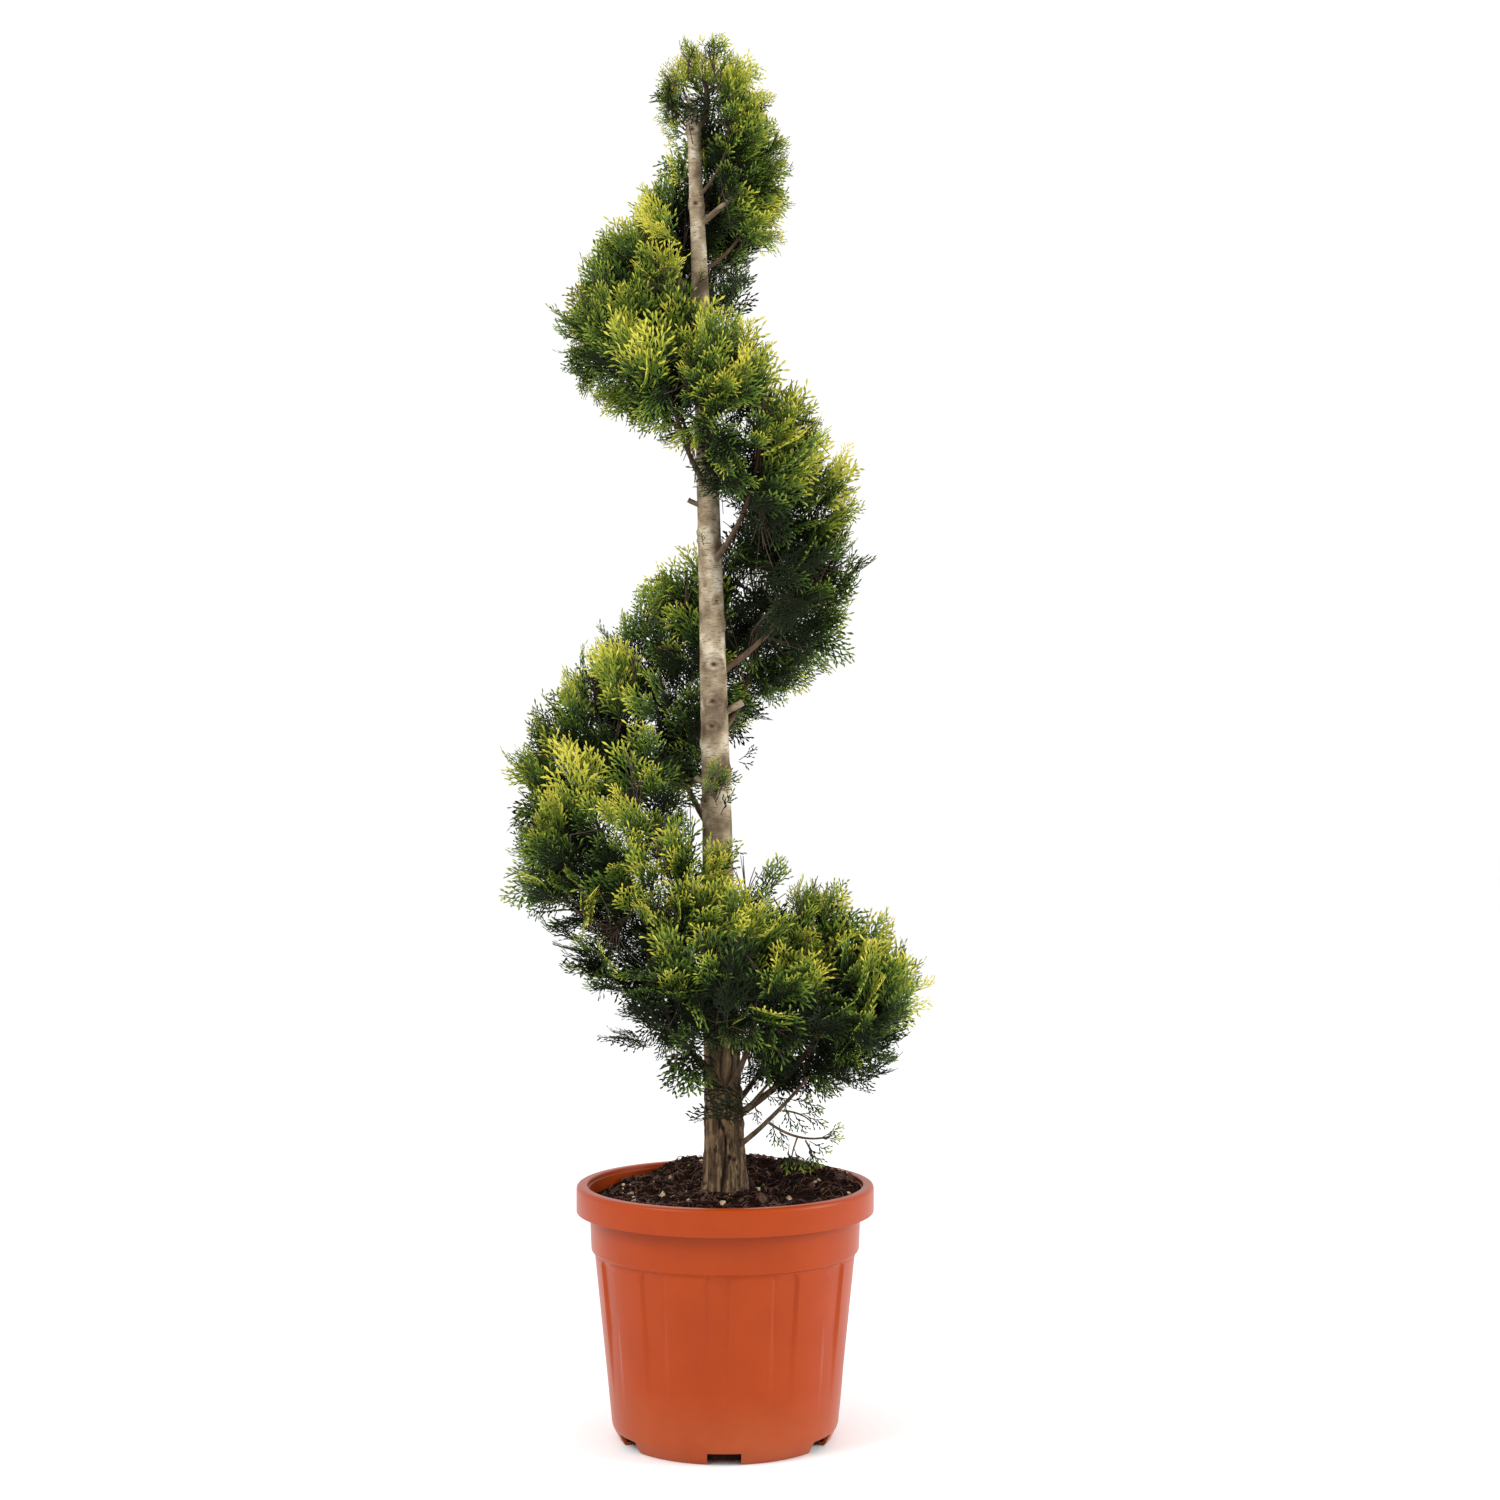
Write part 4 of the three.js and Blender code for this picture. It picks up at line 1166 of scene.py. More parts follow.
def face_normal(bearing, angle):
    """The way the clipped face looks at a place."""
    step = NORMAL_STEP
    rise = ribbon_point(bearing, angle + step, 1.0) - ribbon_point(bearing, angle - step, 1.0)
    onwards = ribbon_point(bearing + step, angle, 1.0) - ribbon_point(bearing - step, angle, 1.0)
    return unit(np.cross(rise, onwards))


def from_trunk(points):
    """How far points are from the leaning trunk's middle, level with them."""
    return np.hypot(points[:, 0] - trunk_x(points[:, 2]), points[:, 1])


def is_free(points):
    """Whether points keep clear of the trunk, the leader and the boxes that are kept open."""
    _, (_, _, leader_foot), (leader_x, leader_y, _) = LEADER_POINTS
    off_leader = np.hypot(points[:, 0] - leader_x, points[:, 1] - leader_y) > LEADER_ROOM
    free = from_trunk(points) > trunk_radius(points[:, 2]) + TRUNK_MARGIN
    free &= (points[:, 2] < leader_foot) | off_leader
    for low, high in BARE_FRONTS:
        free &= ((points < low) | (points > high)).any(1)
    return free


print("clipped face of each mass in square decimetres:",
      [round(face_area(bearing)[1][-1] / 100 ** 2) for bearing in bearings])


# %% Branchlets
BRANCHLETS_PER_REACH = 0.25  # in a mass, beside those that the source's rule gives
BRANCHLET_ROOTS = (0.35, 0.98)
BRANCHLET_BEND = 0.4         # of its length, on the way of its twig
BRANCHLET_SHARE = 0.7        # of the way to the clipped face
BRANCHLET_RADII = (0.9, 0.75, 0.6, 0.5, 0.4)


def grow_branchlets(bearing, twigs, source_branchlets, rng):
    """Branchlets from the twigs towards the face, as lines of points."""
    count = round(BRANCHLETS_PER_REACH * float(along(REACHES, bearing)))
    more = ribbon_point(*even_targets(count, bearing, rng), 1.0)
    parent = np.linalg.norm(more[:, None] - twigs[None, :, 1], axis=2).argmin(1)
    roots = mix(twigs[parent, 0], twigs[parent, 1], rng.uniform(*BRANCHLET_ROOTS, count)[:, None])
    roots = np.concatenate([source_branchlets[:, 0], roots])
    tips = mix(roots, np.concatenate([source_branchlets[:, 1], more]), BRANCHLET_SHARE)
    parent = np.concatenate([np.repeat(np.arange(len(twigs)), SPRAYS_PER_TWIG), parent])
    span = np.linalg.norm(tips - roots, axis=1, keepdims=True)
    bends = roots + unit(twigs[:, 1] - twigs[:, 0])[parent] * span * BRANCHLET_BEND
    shares = np.linspace(0, 1, len(BRANCHLET_RADII))
    lines = bezier(roots[:, None], bends[:, None], tips[:, None], shares)
    return lines[is_free(lines[:, 2]) & is_free(lines[:, 3]) & is_free(tips)]


print("branchlets go", BRANCHLET_SHARE, "of the way to the clipped face")

# %% Tufts and their twiglets
TUFTS_PER_AREA = 0.00105     # per square millimetre of clipped face
FEWEST_TUFTS = 54            # in a mass
LAYERS = {1.0: 0.62, 0.84: 0.23, 0.66: 0.15}    # fullness of a layer of tufts, and its share
LUMP_SIZE = 62               # the clipped face has grown out into lumps of this size
LUMP_DEPTH = 0.16
TUFT_FULLNESS = 0.95         # where the tips of a layer start from
RAGGED_TIPS = 0.04           # how far a tuft stands out on average, of the reach
RAGGED_BELOW = 0.11          # how much further it may hang under a turn
AIM_FACE = 0.55              # a tuft's aim: away from the face, out from the trunk and up
AIM_OUT = 0.35
AIM_UP = (0.42, 0.4)         # on every side, and more where the face looks up
AIM_SCATTER = 0.22
TUFT_LENGTH = 64
TUFT_LENGTHS = (0.7, 1.25)
NARROW_TUFT = 0.5            # share of the length that a tuft has however narrow the ribbon is
NARROW_REACH = 260           # reach that would give it one more length
SHORT_TUFT = 0.45            # of the length, where a longer tuft would start inside the trunk
TUFT_CHANCE = (0.75, 0.55)   # at the trunk, and how much more at the ribbon's outer edge
OPEN_BELOW = 0.5             # share of the tufts that is missing under a turn
TWIGLET_SPAN = (12, 8)       # from before a tuft's foot to past it


def deal_tufts(bearing, rng):
    """Tufts dealt over one mass's clipped face: their feet and tips, and how they lie in it."""
    count = max(FEWEST_TUFTS, round(face_area(bearing)[1][-1] * TUFTS_PER_AREA))
    turned, angle = even_targets(count, bearing, rng)
    fullness = rng.choice(list(LAYERS), count, p=list(LAYERS.values()))
    normals = face_normal(turned, angle)
    below = np.maximum(0, -normals[:, 2])
    hanging = 1 + RAGGED_BELOW * rng.uniform(0, 1, count) * below * (fullness == 1)
    face = ribbon_point(turned, angle, 1.0)
    lumps = np.array([noise.noise(Vector(point) / LUMP_SIZE) for point in face])
    ragged = TUFT_FULLNESS + rng.exponential(RAGGED_TIPS, count) + LUMP_DEPTH * np.minimum(0, lumps)
    tips = ribbon_point(turned, angle, fullness * hanging * ragged)
    outwards = around(turned, 1.0, 0.0) - around(turned, 0.0, 0.0)
    upwards = (AIM_UP[0] + AIM_UP[1] * normals[:, 2:]) * [0, 0, 1]
    scatter = rng.normal(0, AIM_SCATTER, (count, 3))
    aims = unit(AIM_FACE * normals + AIM_OUT * outwards + upwards + scatter)
    reach = float(along(REACHES, bearing))
    narrow = min(1, NARROW_TUFT + reach / NARROW_REACH)
    lengths = TUFT_LENGTH * rng.uniform(*TUFT_LENGTHS, count) * narrow
    lengths[~is_free(tips - aims * lengths[:, None])] *= SHORT_TUFT
    feet = tips - aims * lengths[:, None]
    outer = from_trunk(tips) / reach
    likely = (TUFT_CHANCE[0] + TUFT_CHANCE[1] * outer) * (1 - OPEN_BELOW * below)
    kept = is_free(tips) & is_free(feet) & (rng.uniform(0, 1, count) < likely)
    tufts = {"feet": feet, "tips": tips, "aims": aims, "normals": normals, "outwards": outwards,
             "fullness": fullness, "lumps": lumps, "outer": outer}
    return {key: values[kept] for key, values in tufts.items()}


def grow_twiglets(tufts, branchlets):
    """One short twig into each tuft from the nearest branchlet, as three points."""
    points = branchlets[:, 1:].reshape(-1, 3)
    nearest = np.linalg.norm(tufts["feet"][:, None] - points[None], axis=2).argmin(1)
    before, past = TWIGLET_SPAN
    return np.stack([points[nearest], tufts["feet"] - tufts["aims"] * before,
                     tufts["feet"] + tufts["aims"] * past], 1)


print("at least", FEWEST_TUFTS, "tufts in a mass, in layers of this fullness and share:", LAYERS)

# %% Tones of the tufts
EVEN_TONE = 0.185            # tones run from 0, dark green, to 1, gold
SUN = (0.24, -0.2, 0.92)     # the way that the lightest sprays face: painted light, and painted shade on those facing away
SUN_LIGHTER = 0.35
LOWEST_LIGHT = -0.3          # an underside gets no darker than this
INSIDE_DARKER = 1.4          # partly its own darker green and partly painted shade inside the crown, per share of the fullness
# Lumps of the clipped face get painted light, and the hollows between them get painted shade.
LUMP_LIGHTER = 0.2
EDGE_LIGHTER = 0.22          # a tuft's tone rises towards the ribbon's outer edge
EDGE_EVEN = 0.6              # share of the reach where that changes nothing
TUFT_TONES = 0.1             # spread of the tones, tuft by tuft and spray by spray
SPRAY_TONES = 0.14
GOLDEN_TOP = 0.13            # how much lighter the upper turns are
GOLDEN_HEIGHTS = (960, 1160)
LOW_SHADE = 0.12             # painted shade: how much darker the lowest turn is
LOW_HEIGHTS = (440, 640)


def tuft_tones(tufts, rng):
    """How light each tuft is: painted light where it faces up, painted shade inside, in hollows and low,
    and golden at the top.
    """
    light = np.maximum(tufts["normals"] @ SUN, LOWEST_LIGHT)
    heights = tufts["tips"][:, 2]
    tones = EVEN_TONE + SUN_LIGHTER * light - INSIDE_DARKER * (1 - tufts["fullness"])
    tones += LUMP_LIGHTER * tufts["lumps"] + rng.normal(0, TUFT_TONES, len(tones))
    tones += GOLDEN_TOP * smooth_step(*GOLDEN_HEIGHTS, heights)
    tones += EDGE_LIGHTER * (tufts["outer"] - EDGE_EVEN)
    return tones - LOW_SHADE * (1 - smooth_step(*LOW_HEIGHTS, heights))


print("a tuft in even light has the tone", EVEN_TONE)

# %% Sprays of the tufts
SPRAYS_PER_TUFT = 3
TUFT_SPREAD = 13             # from a tuft's middle to the tips round it
TUFT_FLATNESS = 0.6          # how much of that spread is lost across the face
TUFT_FOOT_SPREAD = 0.3       # of the spread at the tips
SHINGLE_OUT = 0.35           # how much a spray's flat side looks out, beside looking off the face
SPRAY_ROLL = 28              # degrees by which it turns away from that
SPRAY_LENGTHS = (0.85, 1.1)
SPRAY_HALF_WIDTH = 0.34      # of its length
BOX_ROOM = 9                 # how far a spray may leave the CAD model's box
BOX = (np.array(cad_low) / MM - BOX_ROOM, np.array(cad_high) / MM + BOX_ROOM)


def grow_sprays(tufts, rng):
    """The sprays of the tufts: their feet, how they point and face, their lengths and tones."""
    normals = tufts["normals"]
    scatter = rng.normal(0, TUFT_SPREAD, (len(normals), SPRAYS_PER_TUFT, 3))
    scatter -= TUFT_FLATNESS * normals[:, None] * np.sum(scatter * normals[:, None], 2, keepdims=True)
    feet = (tufts["feet"][:, None] + TUFT_FOOT_SPREAD * scatter).reshape(-1, 3)
    tips = (tufts["tips"][:, None] + scatter).reshape(-1, 3)
    aims = unit(tips - feet)
    shingle = np.repeat(normals + SHINGLE_OUT * tufts["outwards"], SPRAYS_PER_TUFT, 0)
    shingle = unit(shingle - aims * np.sum(shingle * aims, 1, keepdims=True))
    roll = rng.normal(0, math.radians(SPRAY_ROLL), len(feet))[:, None]
    flat_sides = shingle * np.cos(roll) + np.cross(aims, shingle) * np.sin(roll)
    tones = np.repeat(tuft_tones(tufts, rng), SPRAYS_PER_TUFT)
    lengths = np.linalg.norm(tips - feet, axis=1)
    half_widths = SPRAY_HALF_WIDTH * lengths[:, None] * np.abs(np.cross(flat_sides, aims))
    feet += np.clip(tips, BOX[0] + half_widths, BOX[1] - half_widths) - tips
    free = is_free(tips) & is_free(feet)
    sprays = {
        "feet": feet, "aims": aims, "normals": flat_sides,
        "lengths": lengths * rng.uniform(*SPRAY_LENGTHS, len(free)),
        "tones": tones + rng.normal(0, SPRAY_TONES, len(free)),
    }
    return {key: values[free] for key, values in sprays.items()}


print(SPRAYS_PER_TUFT, "sprays in each tuft, up to", BOX_ROOM, "mm outside the CAD model's box")

# %% [markdown]
# A few lone sprays stand round the bare tip, at the foot of the lowest turn and on the low
# shoots. A rule would miss them, so each is placed one by one.

# %% Single sprays that the photo shows
SPRIG_FACING = (0, -1, 0.2)  # single sprays show their flat side to the front
SPRIG_TWIG = (0, 0.2, 0.4)   # shares of its length where its twig runs
SPRIG_FOOT = 0.15
SPRIG_LENGTH = 0.85
SPRIGS = [                   # foot, tip and tone of each single spray
    ((-40, -6, 1330), (-68, -16, 1358), 0.55), ((-42, -6, 1345), (-66, -18, 1384), 0.6),
    ((-40, -4, 1318), (-74, -12, 1330), 0.5), ((-38, -4, 1305), (-68, -12, 1318), 0.5),
    ((-40, -6, 1352), (-52, -16, 1392), 0.65), ((-30, -4, 1356), (-40, -12, 1396), 0.5),
    ((-14, -8, 1350), (-4, -20, 1392), 0.6), ((-8, -10, 1340), (10, -24, 1376), 0.5),
    ((-8, -22, 470), (-16, -46, 424), 0.1), ((8, -24, 462), (20, -50, 420), 0.15),
    ((-16, -20, 446), (-34, -42, 404), 0.0), ((14, -22, 440), (30, -40, 398), 0.1),
    ((0, -24, 448), (2, -46, 402), 0.05), ((-10, -22, 425), (-14, -36, 385), -0.1),
    ((8, -24, 425), (14, -38, 384), -0.05), ((20, -18, 460), (40, -38, 424), 0.15),
    ((-41, -4, 1326), (-56, -10, 1344), 0.45), ((-41, -4, 1340), (-54, -12, 1364), 0.5),
    ((-40, -4, 1350), (-49, -14, 1376), 0.55), ((-41, -4, 1312), (-58, -10, 1324), 0.4),
    ((-40, 2, 1334), (-60, 2, 1366), 0.4), ((-41, 2, 1318), (-62, 4, 1340), 0.4),
    ((-38, -3, 1338), (-68, -8, 1345), 0.6), ((-37, -2, 1327), (-64, -10, 1323), 0.65),
    ((-36, -2, 1316), (-60, -8, 1305), 0.65), ((-36, -3, 1299), (-64, -8, 1301), 0.55),
    ((-35, -3, 1284), (-62, -10, 1286), 0.55), ((-35, -2, 1272), (-58, -12, 1262), 0.6),
    ((-37, -3, 1350), (-60, -6, 1376), 0.65), ((-36, 0, 1352), (-52, -2, 1390), 0.6),
    ((-22, 0, 1366), (-34, -4, 1402), 0.75), ((-21, 0, 1366), (-18, -3, 1404), 0.8),
    ((-22, 0, 1350), (-46, -6, 1392), 0.6), ((-20, 2, 1352), (-8, -4, 1388), 0.5),
    ((-9, -19, 640), (-8, -34, 690), 0.5), ((-8, -19, 642), (4, -32, 676), 0.42),
    ((-8, -19, 636), (-20, -30, 668), 0.45), ((-4, -18, 628), (10, -28, 656), 0.3),
    ((14, -4, 682), (34, -8, 696), 0.1), ((14, -4, 680), (30, -10, 676), 0.05),
    ((-22, -12, 898), (-24, -20, 914), 0.45), ((-28, -10, 1158), (-20, -20, 1176), 0.35),
    ((96, -48, 308), (120, -50, 322), 0.55), ((92, -48, 307), (121, -50, 308), 0.5),
    ((84, -46, 304), (108, -48, 292), 0.35), ((64, -40, 300), (62, -44, 268), 0.15),
    ((68, -42, 298), (80, -44, 270), 0.25), ((82, -44, 302), (98, -48, 276), 0.3),
    ((84, -46, 302), (86, -46, 270), 0.15), ((78, -38, 330), (104, -40, 316), 0.3),
    ((76, -38, 330), (100, -40, 334), 0.25), ((68, -36, 332), (82, -38, 308), 0.2),
    ((60, -32, 338), (68, -34, 310), 0.15), ((48, -26, 322), (50, -28, 294), 0.1),
    ((54, -28, 318), (60, -30, 290), 0.2), ((30, -12, 338), (34, -14, 314), 0.1),
    ((38, -14, 348), (58, -18, 336), 0.2), ((62, -34, 344), (90, -38, 342), 0.3),
    ((74, -40, 346), (100, -44, 330), 0.25), ((50, -20, 352), (66, -26, 326), 0.15),
]


def sprigs():
    """Single sprays where the photo shows them, and the short twig of each."""
    feet, tips, tones = (np.array(column, float) for column in zip(*SPRIGS))
    aims = unit(tips - feet)
    facing = unit(np.cross(np.cross(aims, SPRIG_FACING), aims))
    twiglets = np.stack([mix(feet, tips, share) for share in SPRIG_TWIG], 1)
    lengths = SPRIG_LENGTH * np.linalg.norm(tips - feet, axis=1)
    return {"feet": mix(feet, tips, SPRIG_FOOT), "aims": aims, "normals": -facing,
            "lengths": lengths, "tones": tones}, twiglets


print(len(SPRIGS), "single sprays")

# %% Every mass
masses = []
for i, bearing in enumerate(bearings):
    rng = np.random.default_rng(SEED + i)
    twigs, source_branchlets = grow_twigs(bearing, SEED + i)
    branchlets = grow_branchlets(bearing, twigs, source_branchlets, rng)
    tufts = deal_tufts(bearing, rng)
    shown = is_free(twigs[:, 1]) & is_free(twigs.mean(1))
    masses.append({"twigs": twigs[shown], "branchlets": branchlets,
                   "twiglets": grow_twiglets(tufts, branchlets), "sprays": grow_sprays(tufts, rng)})
sprays, twiglets = sprigs()
masses.append({"twigs": twigs[:0], "branchlets": branchlets[:0],
               "twiglets": twiglets, "sprays": sprays})
print(sum(len(mass["branchlets"]) for mass in masses), "branchlets and",
      sum(len(mass["twiglets"]) for mass in masses), "twiglets carry",
      sum(len(mass["sprays"]["feet"]) for mass in masses), "sprays")

# %% [markdown]
# The twigs are thin, dark brown and closed at their ends. A twig gets five sides, a
# branchlet four and a twiglet three, which is enough at their size.

# %% Twigs as tubes
TWIG_RADIUS = 1.25           # at its root, where the source's stout twig has 2.2
TWIG_TAPER = 0.6
TWIG_RINGS = 6
TWIG_BEND = 0.06             # of a twig's length, upwards
TWIG_SIDES, BRANCHLET_SIDES, TWIGLET_SIDES = 5, 4, 3
TWIGLET_RADII = (0.55, 0.5, 0.45, 0.4, 0.3)


def tubes(starts, bends, ends, radii, sides):
    """Closed tubes that curve from their starts to their ends."""
    lines = bezier(starts[:, None], bends[:, None], ends[:, None], np.linspace(0, 1, len(radii)))
    return strands(lines * MM, np.broadcast_to(np.array(radii) * MM, lines.shape[:2]), sides)


twigs, branchlets, twiglets = (np.concatenate([mass[key] for mass in masses])
                               for key in ("twigs", "branchlets", "twiglets"))
span = np.linalg.norm(twigs[:, 1] - twigs[:, 0], axis=1, keepdims=True)
twig_bends = twigs.mean(1) + span * [0, 0, TWIG_BEND]
twig_radii = TWIG_RADIUS * mix(1, TWIG_TAPER, np.linspace(0, 1, TWIG_RINGS))
branchlet_radii = np.broadcast_to(np.array(BRANCHLET_RADII) * MM, branchlets.shape[:2])
twig_blocks = [
    tubes(twigs[:, 0], twig_bends, twigs[:, 1], twig_radii, TWIG_SIDES),
    strands(branchlets * MM, branchlet_radii, BRANCHLET_SIDES),
    tubes(twiglets[:, 0], twiglets[:, 1], twiglets[:, 2], TWIGLET_RADII, TWIGLET_SIDES),
]
twig_finish = mottled("young_twig_bark", "#241A11", "#4E3A28", 6, 0.8)
foliage_names = [f"foliage_{i + 1:02d}" for i in range(MASSES)] + ["foliage_tip"]
finish_piece(mesh_from_arrays("twigs", *joined(twig_blocks), smooth=True), "twigs", twig_finish,
             foliage_names)

# %% [markdown]
# ## The sprays
# The leaves of this conifer are tiny scales, pressed flat on branching sprays like ferns. One
# spray is grown here by a short rule: segments follow an axis, and shorter axes leave it on
# alternate sides. Each segment is a closed kite of four faces with a ridge, made as the convex
# hull of four corners. A few different sprays are enough, once each copy has its own turn.

# %% Spray patterns
KITE_LENGTH = 0.112          # of the spray's length, as the width and the axis's step
KITE_LENGTHS = (0.9, 1.1)
KITE_WIDTH = 0.032
KITE_THICKNESS = 0.45        # of its width
KITE_WIDEST = 0.62           # of its length
KITE_TIP_LIFT = 0.4          # of the lift at its root
KITE_TURN = 0.16             # each points a little to one side and the next to the other
AXIS_LENGTH = 0.88           # the last kite reaches on to 1
AXIS_STEP = 0.076
AXIS_WANDER = 0.06
SIDE_ANGLE = 40              # degrees between a side axis and its parent
SIDE_SCATTER = 7
SIDE_CURL = 0.1              # how much a side axis turns back to its parent's way, per step
SIDE_REACH = {2: 0.62, 1: 0.55}    # of its parent's length, for each order of side axes
SIDE_LENGTHS = (0.75, 1.2)
FAN_SHAPE = (0.3, 0.55, 1.2)    # shortest side axis, how much longer the middle ones are, and power
FAN_LEAD = 0.2               # the longest stand this much of the axis before its middle
ONE_KITE_PLACE = 0.75        # the place in its finger of a kite that is alone
WAVE = (0.03, 9, 7)          # height of a spray's gentle waves, and how close along and across it
OUTLINE_ASPECT = 1.3         # a spray is longer than it is wide
FINGER_SHARE = 0.35          # how much a scale's tone follows its finger, and the rest its spray


def add_kite(bm, root, heading, length, width):
    """One scale leaf: a thin closed kite with a ridge, as the hull of four corners."""
    forward = Vector((math.cos(heading), math.sin(heading), 0))
    aside = Vector((-math.sin(heading), math.cos(heading), 0)) * width / 2
    lift = Vector((0, 0, width * KITE_THICKNESS / 2))
    waist = root + forward * length * KITE_WIDEST - lift
    tip = root + forward * length + lift * KITE_TIP_LIFT
    corners = [root + lift, tip, waist + aside, waist - aside]
    bmesh.ops.convex_hull(bm, input=[bm.verts.new(corner) for corner in corners])


def add_axis(bm, ends, scale, root, heading, length, depth, rng, curl=0.0):
    """Kites along an axis, with shorter axes that leave it on alternate sides, down to depth 0.
    Adds to ends how near each kite is to the end of its finger."""
    steps = max(1, round(length / AXIS_STEP / scale))
    at = root.copy()
    first_side = rng.choice((-1, 1))
    for step in range(steps):
        share = step / steps
        zigzag = KITE_TURN * (-1) ** step if step < steps - 1 else 0
        kite_length = KITE_LENGTH * scale * rng.uniform(*KITE_LENGTHS)
        add_kite(bm, at, heading + zigzag, kite_length, KITE_WIDTH * scale)
        ends.append(ONE_KITE_PLACE if steps == 1 else (step / (steps - 1)) ** 2)
        if depth and step and (depth == 2 or step < steps - 1):
            side = first_side * (-1) ** step
            shortest, longer, power = FAN_SHAPE
            shape = shortest + longer * math.sin(math.pi * min(1, share + FAN_LEAD)) ** power
            reach = SIDE_REACH[depth] * length * shape * rng.uniform(*SIDE_LENGTHS)
            turn = math.radians(SIDE_ANGLE + rng.uniform(-SIDE_SCATTER, SIDE_SCATTER)) * side
            add_axis(bm, ends, scale, at, heading + turn, reach, depth - 1, rng, -side * SIDE_CURL)
        heading += curl + rng.uniform(-AXIS_WANDER, AXIS_WANDER)
        at += Vector((math.cos(heading), math.sin(heading), 0)) * length / steps


def spray_pattern(seed, droop, cup, scale):
    """One spray of unit length as kites: corners (kites, 4, 3), faces (kites, 4, 3), places.
    The scale is larger on a short spray, so that its leaves are of the same size."""
    rng = np.random.default_rng(seed)
    bm = bmesh.new()
    ends = []
    add_axis(bm, ends, scale, Vector((0, 0, 0)), 0.0, AXIS_LENGTH, 2, rng)
    bm.verts.index_update()
    corners = np.array([vertex.co[:] for vertex in bm.verts]).reshape(-1, 4, 3)
    faces = [[vertex.index for vertex in face.verts] for face in bm.faces]
    faces.sort(key=lambda face: min(face) // 4)
    bm.free()
    local = np.array(faces).reshape(-1, 4, 3) % 4
    x, y = corners[..., 0], corners[..., 1]
    wave, along_it, across_it = WAVE
    corners[..., 2] += -droop * x ** 2 - cup * np.abs(y) + wave * np.sin(along_it * x + across_it * y)
    outer = np.hypot(corners[:, 1, 0], OUTLINE_ASPECT * corners[:, 1, 1]) / AXIS_LENGTH
    return corners, local, mix(outer, np.array(ends), FINGER_SHARE)


SMALL_SHAPES = [             # seed, droop and cup of each pattern
    (5, 0.1, 0.1), (9, 0.2, -0.1), (12, 0, 0.2),
]
LONG_SHAPES = [
    (3, 0.1, 0.15), (8, 0.22, 0.05), (14, -0.08, 0.22),
    (21, 0.3, -0.1), (33, 0.02, -0.2), (47, 0.15, 0.1),
]
KINDS = [(3.6, SMALL_SHAPES), (2.0, SMALL_SHAPES), (1.0, LONG_SHAPES)]    # tiny, short and long sprays
KIND_LIMITS = (15, 28)       # lengths in millimetres between the three kinds
KIND_COUNTS = np.array([len(shapes) for _, shapes in KINDS])
PATTERNS = [spray_pattern(*shape, scale) for scale, shapes in KINDS for shape in shapes]
print("kites in each spray pattern:", [len(corners) for corners, _, _ in PATTERNS])

# %% [markdown]
# This conifer is golden where it gets sun: at the top and outside of every turn its sprays are
# yellow, then lime and green, and dark green inside and below. The darker shades are partly
# painted shade inside and below the crown, and the lighter ones partly painted light. The
# shades are plain colours, dealt out by spray and by place in the spray: a spray's tips are a
# step lighter than its foot.

# %% Shades and dealing
SHADES = {                   # lowest tone of the shade, and its colour
    # The darkest greens partly stand for painted shade, and the lightest partly for painted light.
    "leaf_shadow_green": (-9, "#192210"),
    "leaf_deep_green": (0.12, "#2B3C17"),
    "leaf_mid_green": (0.27, "#455C21"),
    "leaf_fresh_green": (0.42, "#64792A"),
    "leaf_spring_green": (0.56, "#838F32"),
    "leaf_lime": (0.68, "#A3A63A"),
    "leaf_gold": (0.82, "#C4BC48"),
}
TIP_LIGHTER = 0.8            # from a spray's foot to its tip
EVEN_PLACE = 0.62            # where in a spray its leaves have its own tone
KITE_TONES = 0.03            # spread of the tones, leaf by leaf
PATCH_LIGHTER = 0.22         # lighter and darker patches of the whole crown
PATCH_SIZE = 60
KITES_PER_PIECE = 48000      # of four triangles each, to stay under 200,000
DEAL_SEED = 5


def scale_leaf(name, hex_code):
    """Scale leaves have a thin wax: soft, with a faint sheen. Their colour hardly varies."""
    material, tree, shader, place = new_material(name, {
        "Roughness": 0.6, "Specular IOR Level": 0.12, "IOR": 1.45})
    tint = add_node(tree, "TexNoise", {"Scale": per_metre(14), "Detail": 2.0}, {"Vector": place})
    shaded = add_node(tree, "HueSaturation", {"Color": linear(hex_code)})
    value = add_node(tree, "MapRange", {"To Min": 0.82, "To Max": 1.18}, {"Value": tint})
    link_inputs(tree, shaded, {"Value": value})
    link_inputs(tree, shader, {"Base Color": shaded})
    return material


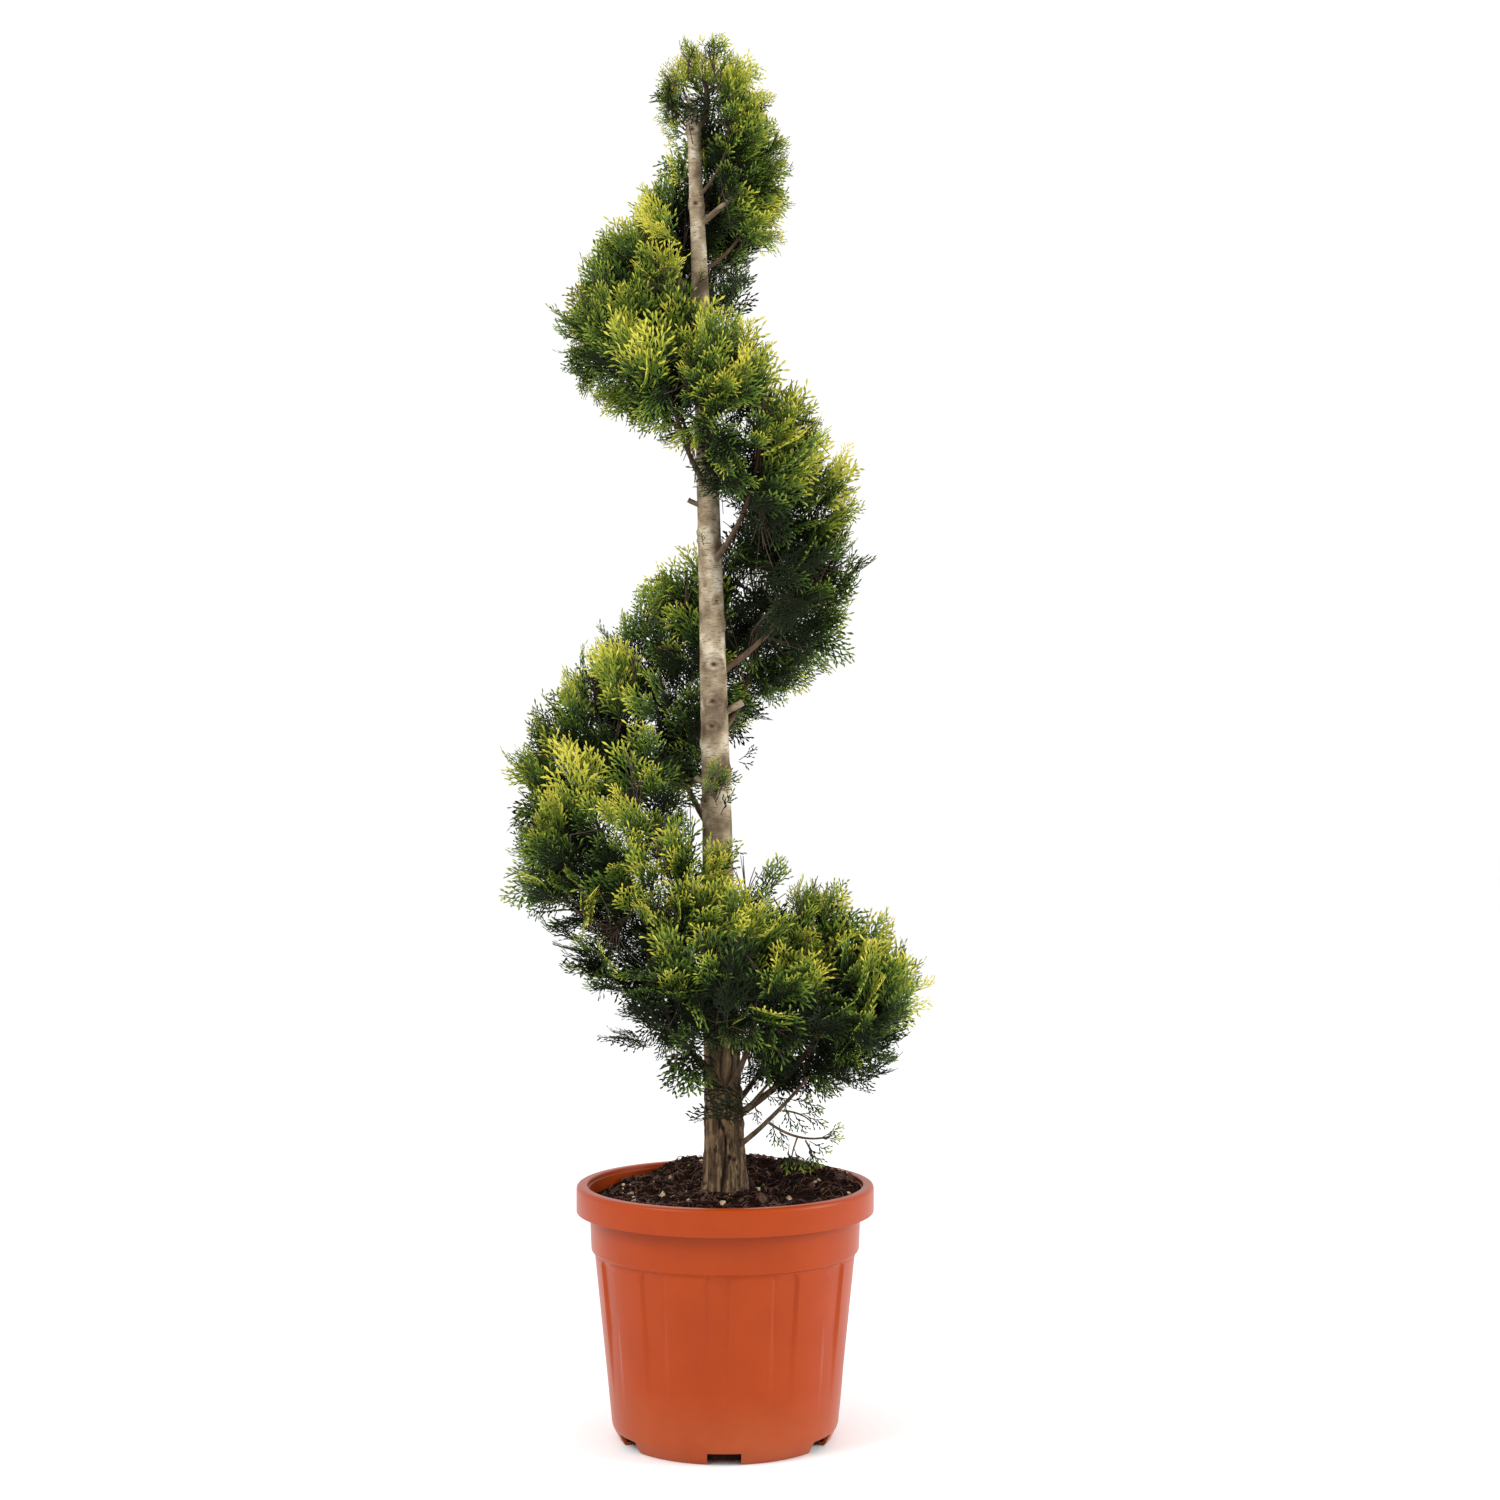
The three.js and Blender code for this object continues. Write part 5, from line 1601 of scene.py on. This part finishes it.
def deal_kites(sprays, rng):
    """Every kite of every spray: its corners, its faces and its tone."""
    corners, faces, tones = [], [], []
    kind = np.searchsorted(KIND_LIMITS, sprays["lengths"])
    first_of_kind = np.cumsum(KIND_COUNTS) - KIND_COUNTS
    pattern_of = first_of_kind[kind] + rng.integers(0, KIND_COUNTS[kind])
    side = np.cross(sprays["normals"], sprays["aims"])
    frames = np.stack([sprays["aims"], side, sprays["normals"]], 2)
    patches = np.array([noise.noise(Vector(foot) / PATCH_SIZE) for foot in sprays["feet"]])
    for number, (shape, local, places) in enumerate(PATTERNS):
        mine = pattern_of == number
        turned = np.einsum("nij,kcj->nkci", frames[mine], shape)
        sized = turned * sprays["lengths"][mine, None, None, None]
        corners.append((sized + sprays["feet"][mine, None, None]).reshape(-1, 4, 3))
        faces.append(np.broadcast_to(local, (mine.sum(), *local.shape)).reshape(-1, 4, 3))
        tone = (sprays["tones"] + PATCH_LIGHTER * patches)[mine, None]
        tone = tone + TIP_LIGHTER * (places - EVEN_PLACE)
        tones.append((tone + rng.normal(0, KITE_TONES, tone.shape)).ravel())
    return np.concatenate(corners), np.concatenate(faces), np.concatenate(tones)


sprays = {key: np.concatenate([mass["sprays"][key] for mass in masses])
          for key in masses[0]["sprays"]}
kite_corners, kite_faces, kite_tones = deal_kites(sprays, np.random.default_rng(DEAL_SEED))
print(len(kite_corners), "kites,", 4 * len(kite_corners), "triangles of leaf")

limits = np.array([lowest for lowest, _ in SHADES.values()])
shade_of = np.searchsorted(limits, kite_tones) - 1
for number, (name, (_, hex_code)) in enumerate(SHADES.items()):
    finish = scale_leaf(name, hex_code)
    chosen = np.flatnonzero(shade_of == number)
    for part, start in enumerate(range(0, len(chosen), KITES_PER_PIECE)):
        picked = chosen[start:start + KITES_PER_PIECE]
        triangles = kite_faces[picked] + (4 * np.arange(len(picked)))[:, None, None]
        mesh = mesh_from_arrays(name, kite_corners[picked].reshape(-1, 3) * MM, triangles.reshape(-1, 3))
        finish_piece(mesh, f"{name}_{part + 1}", finish, foliage_names)
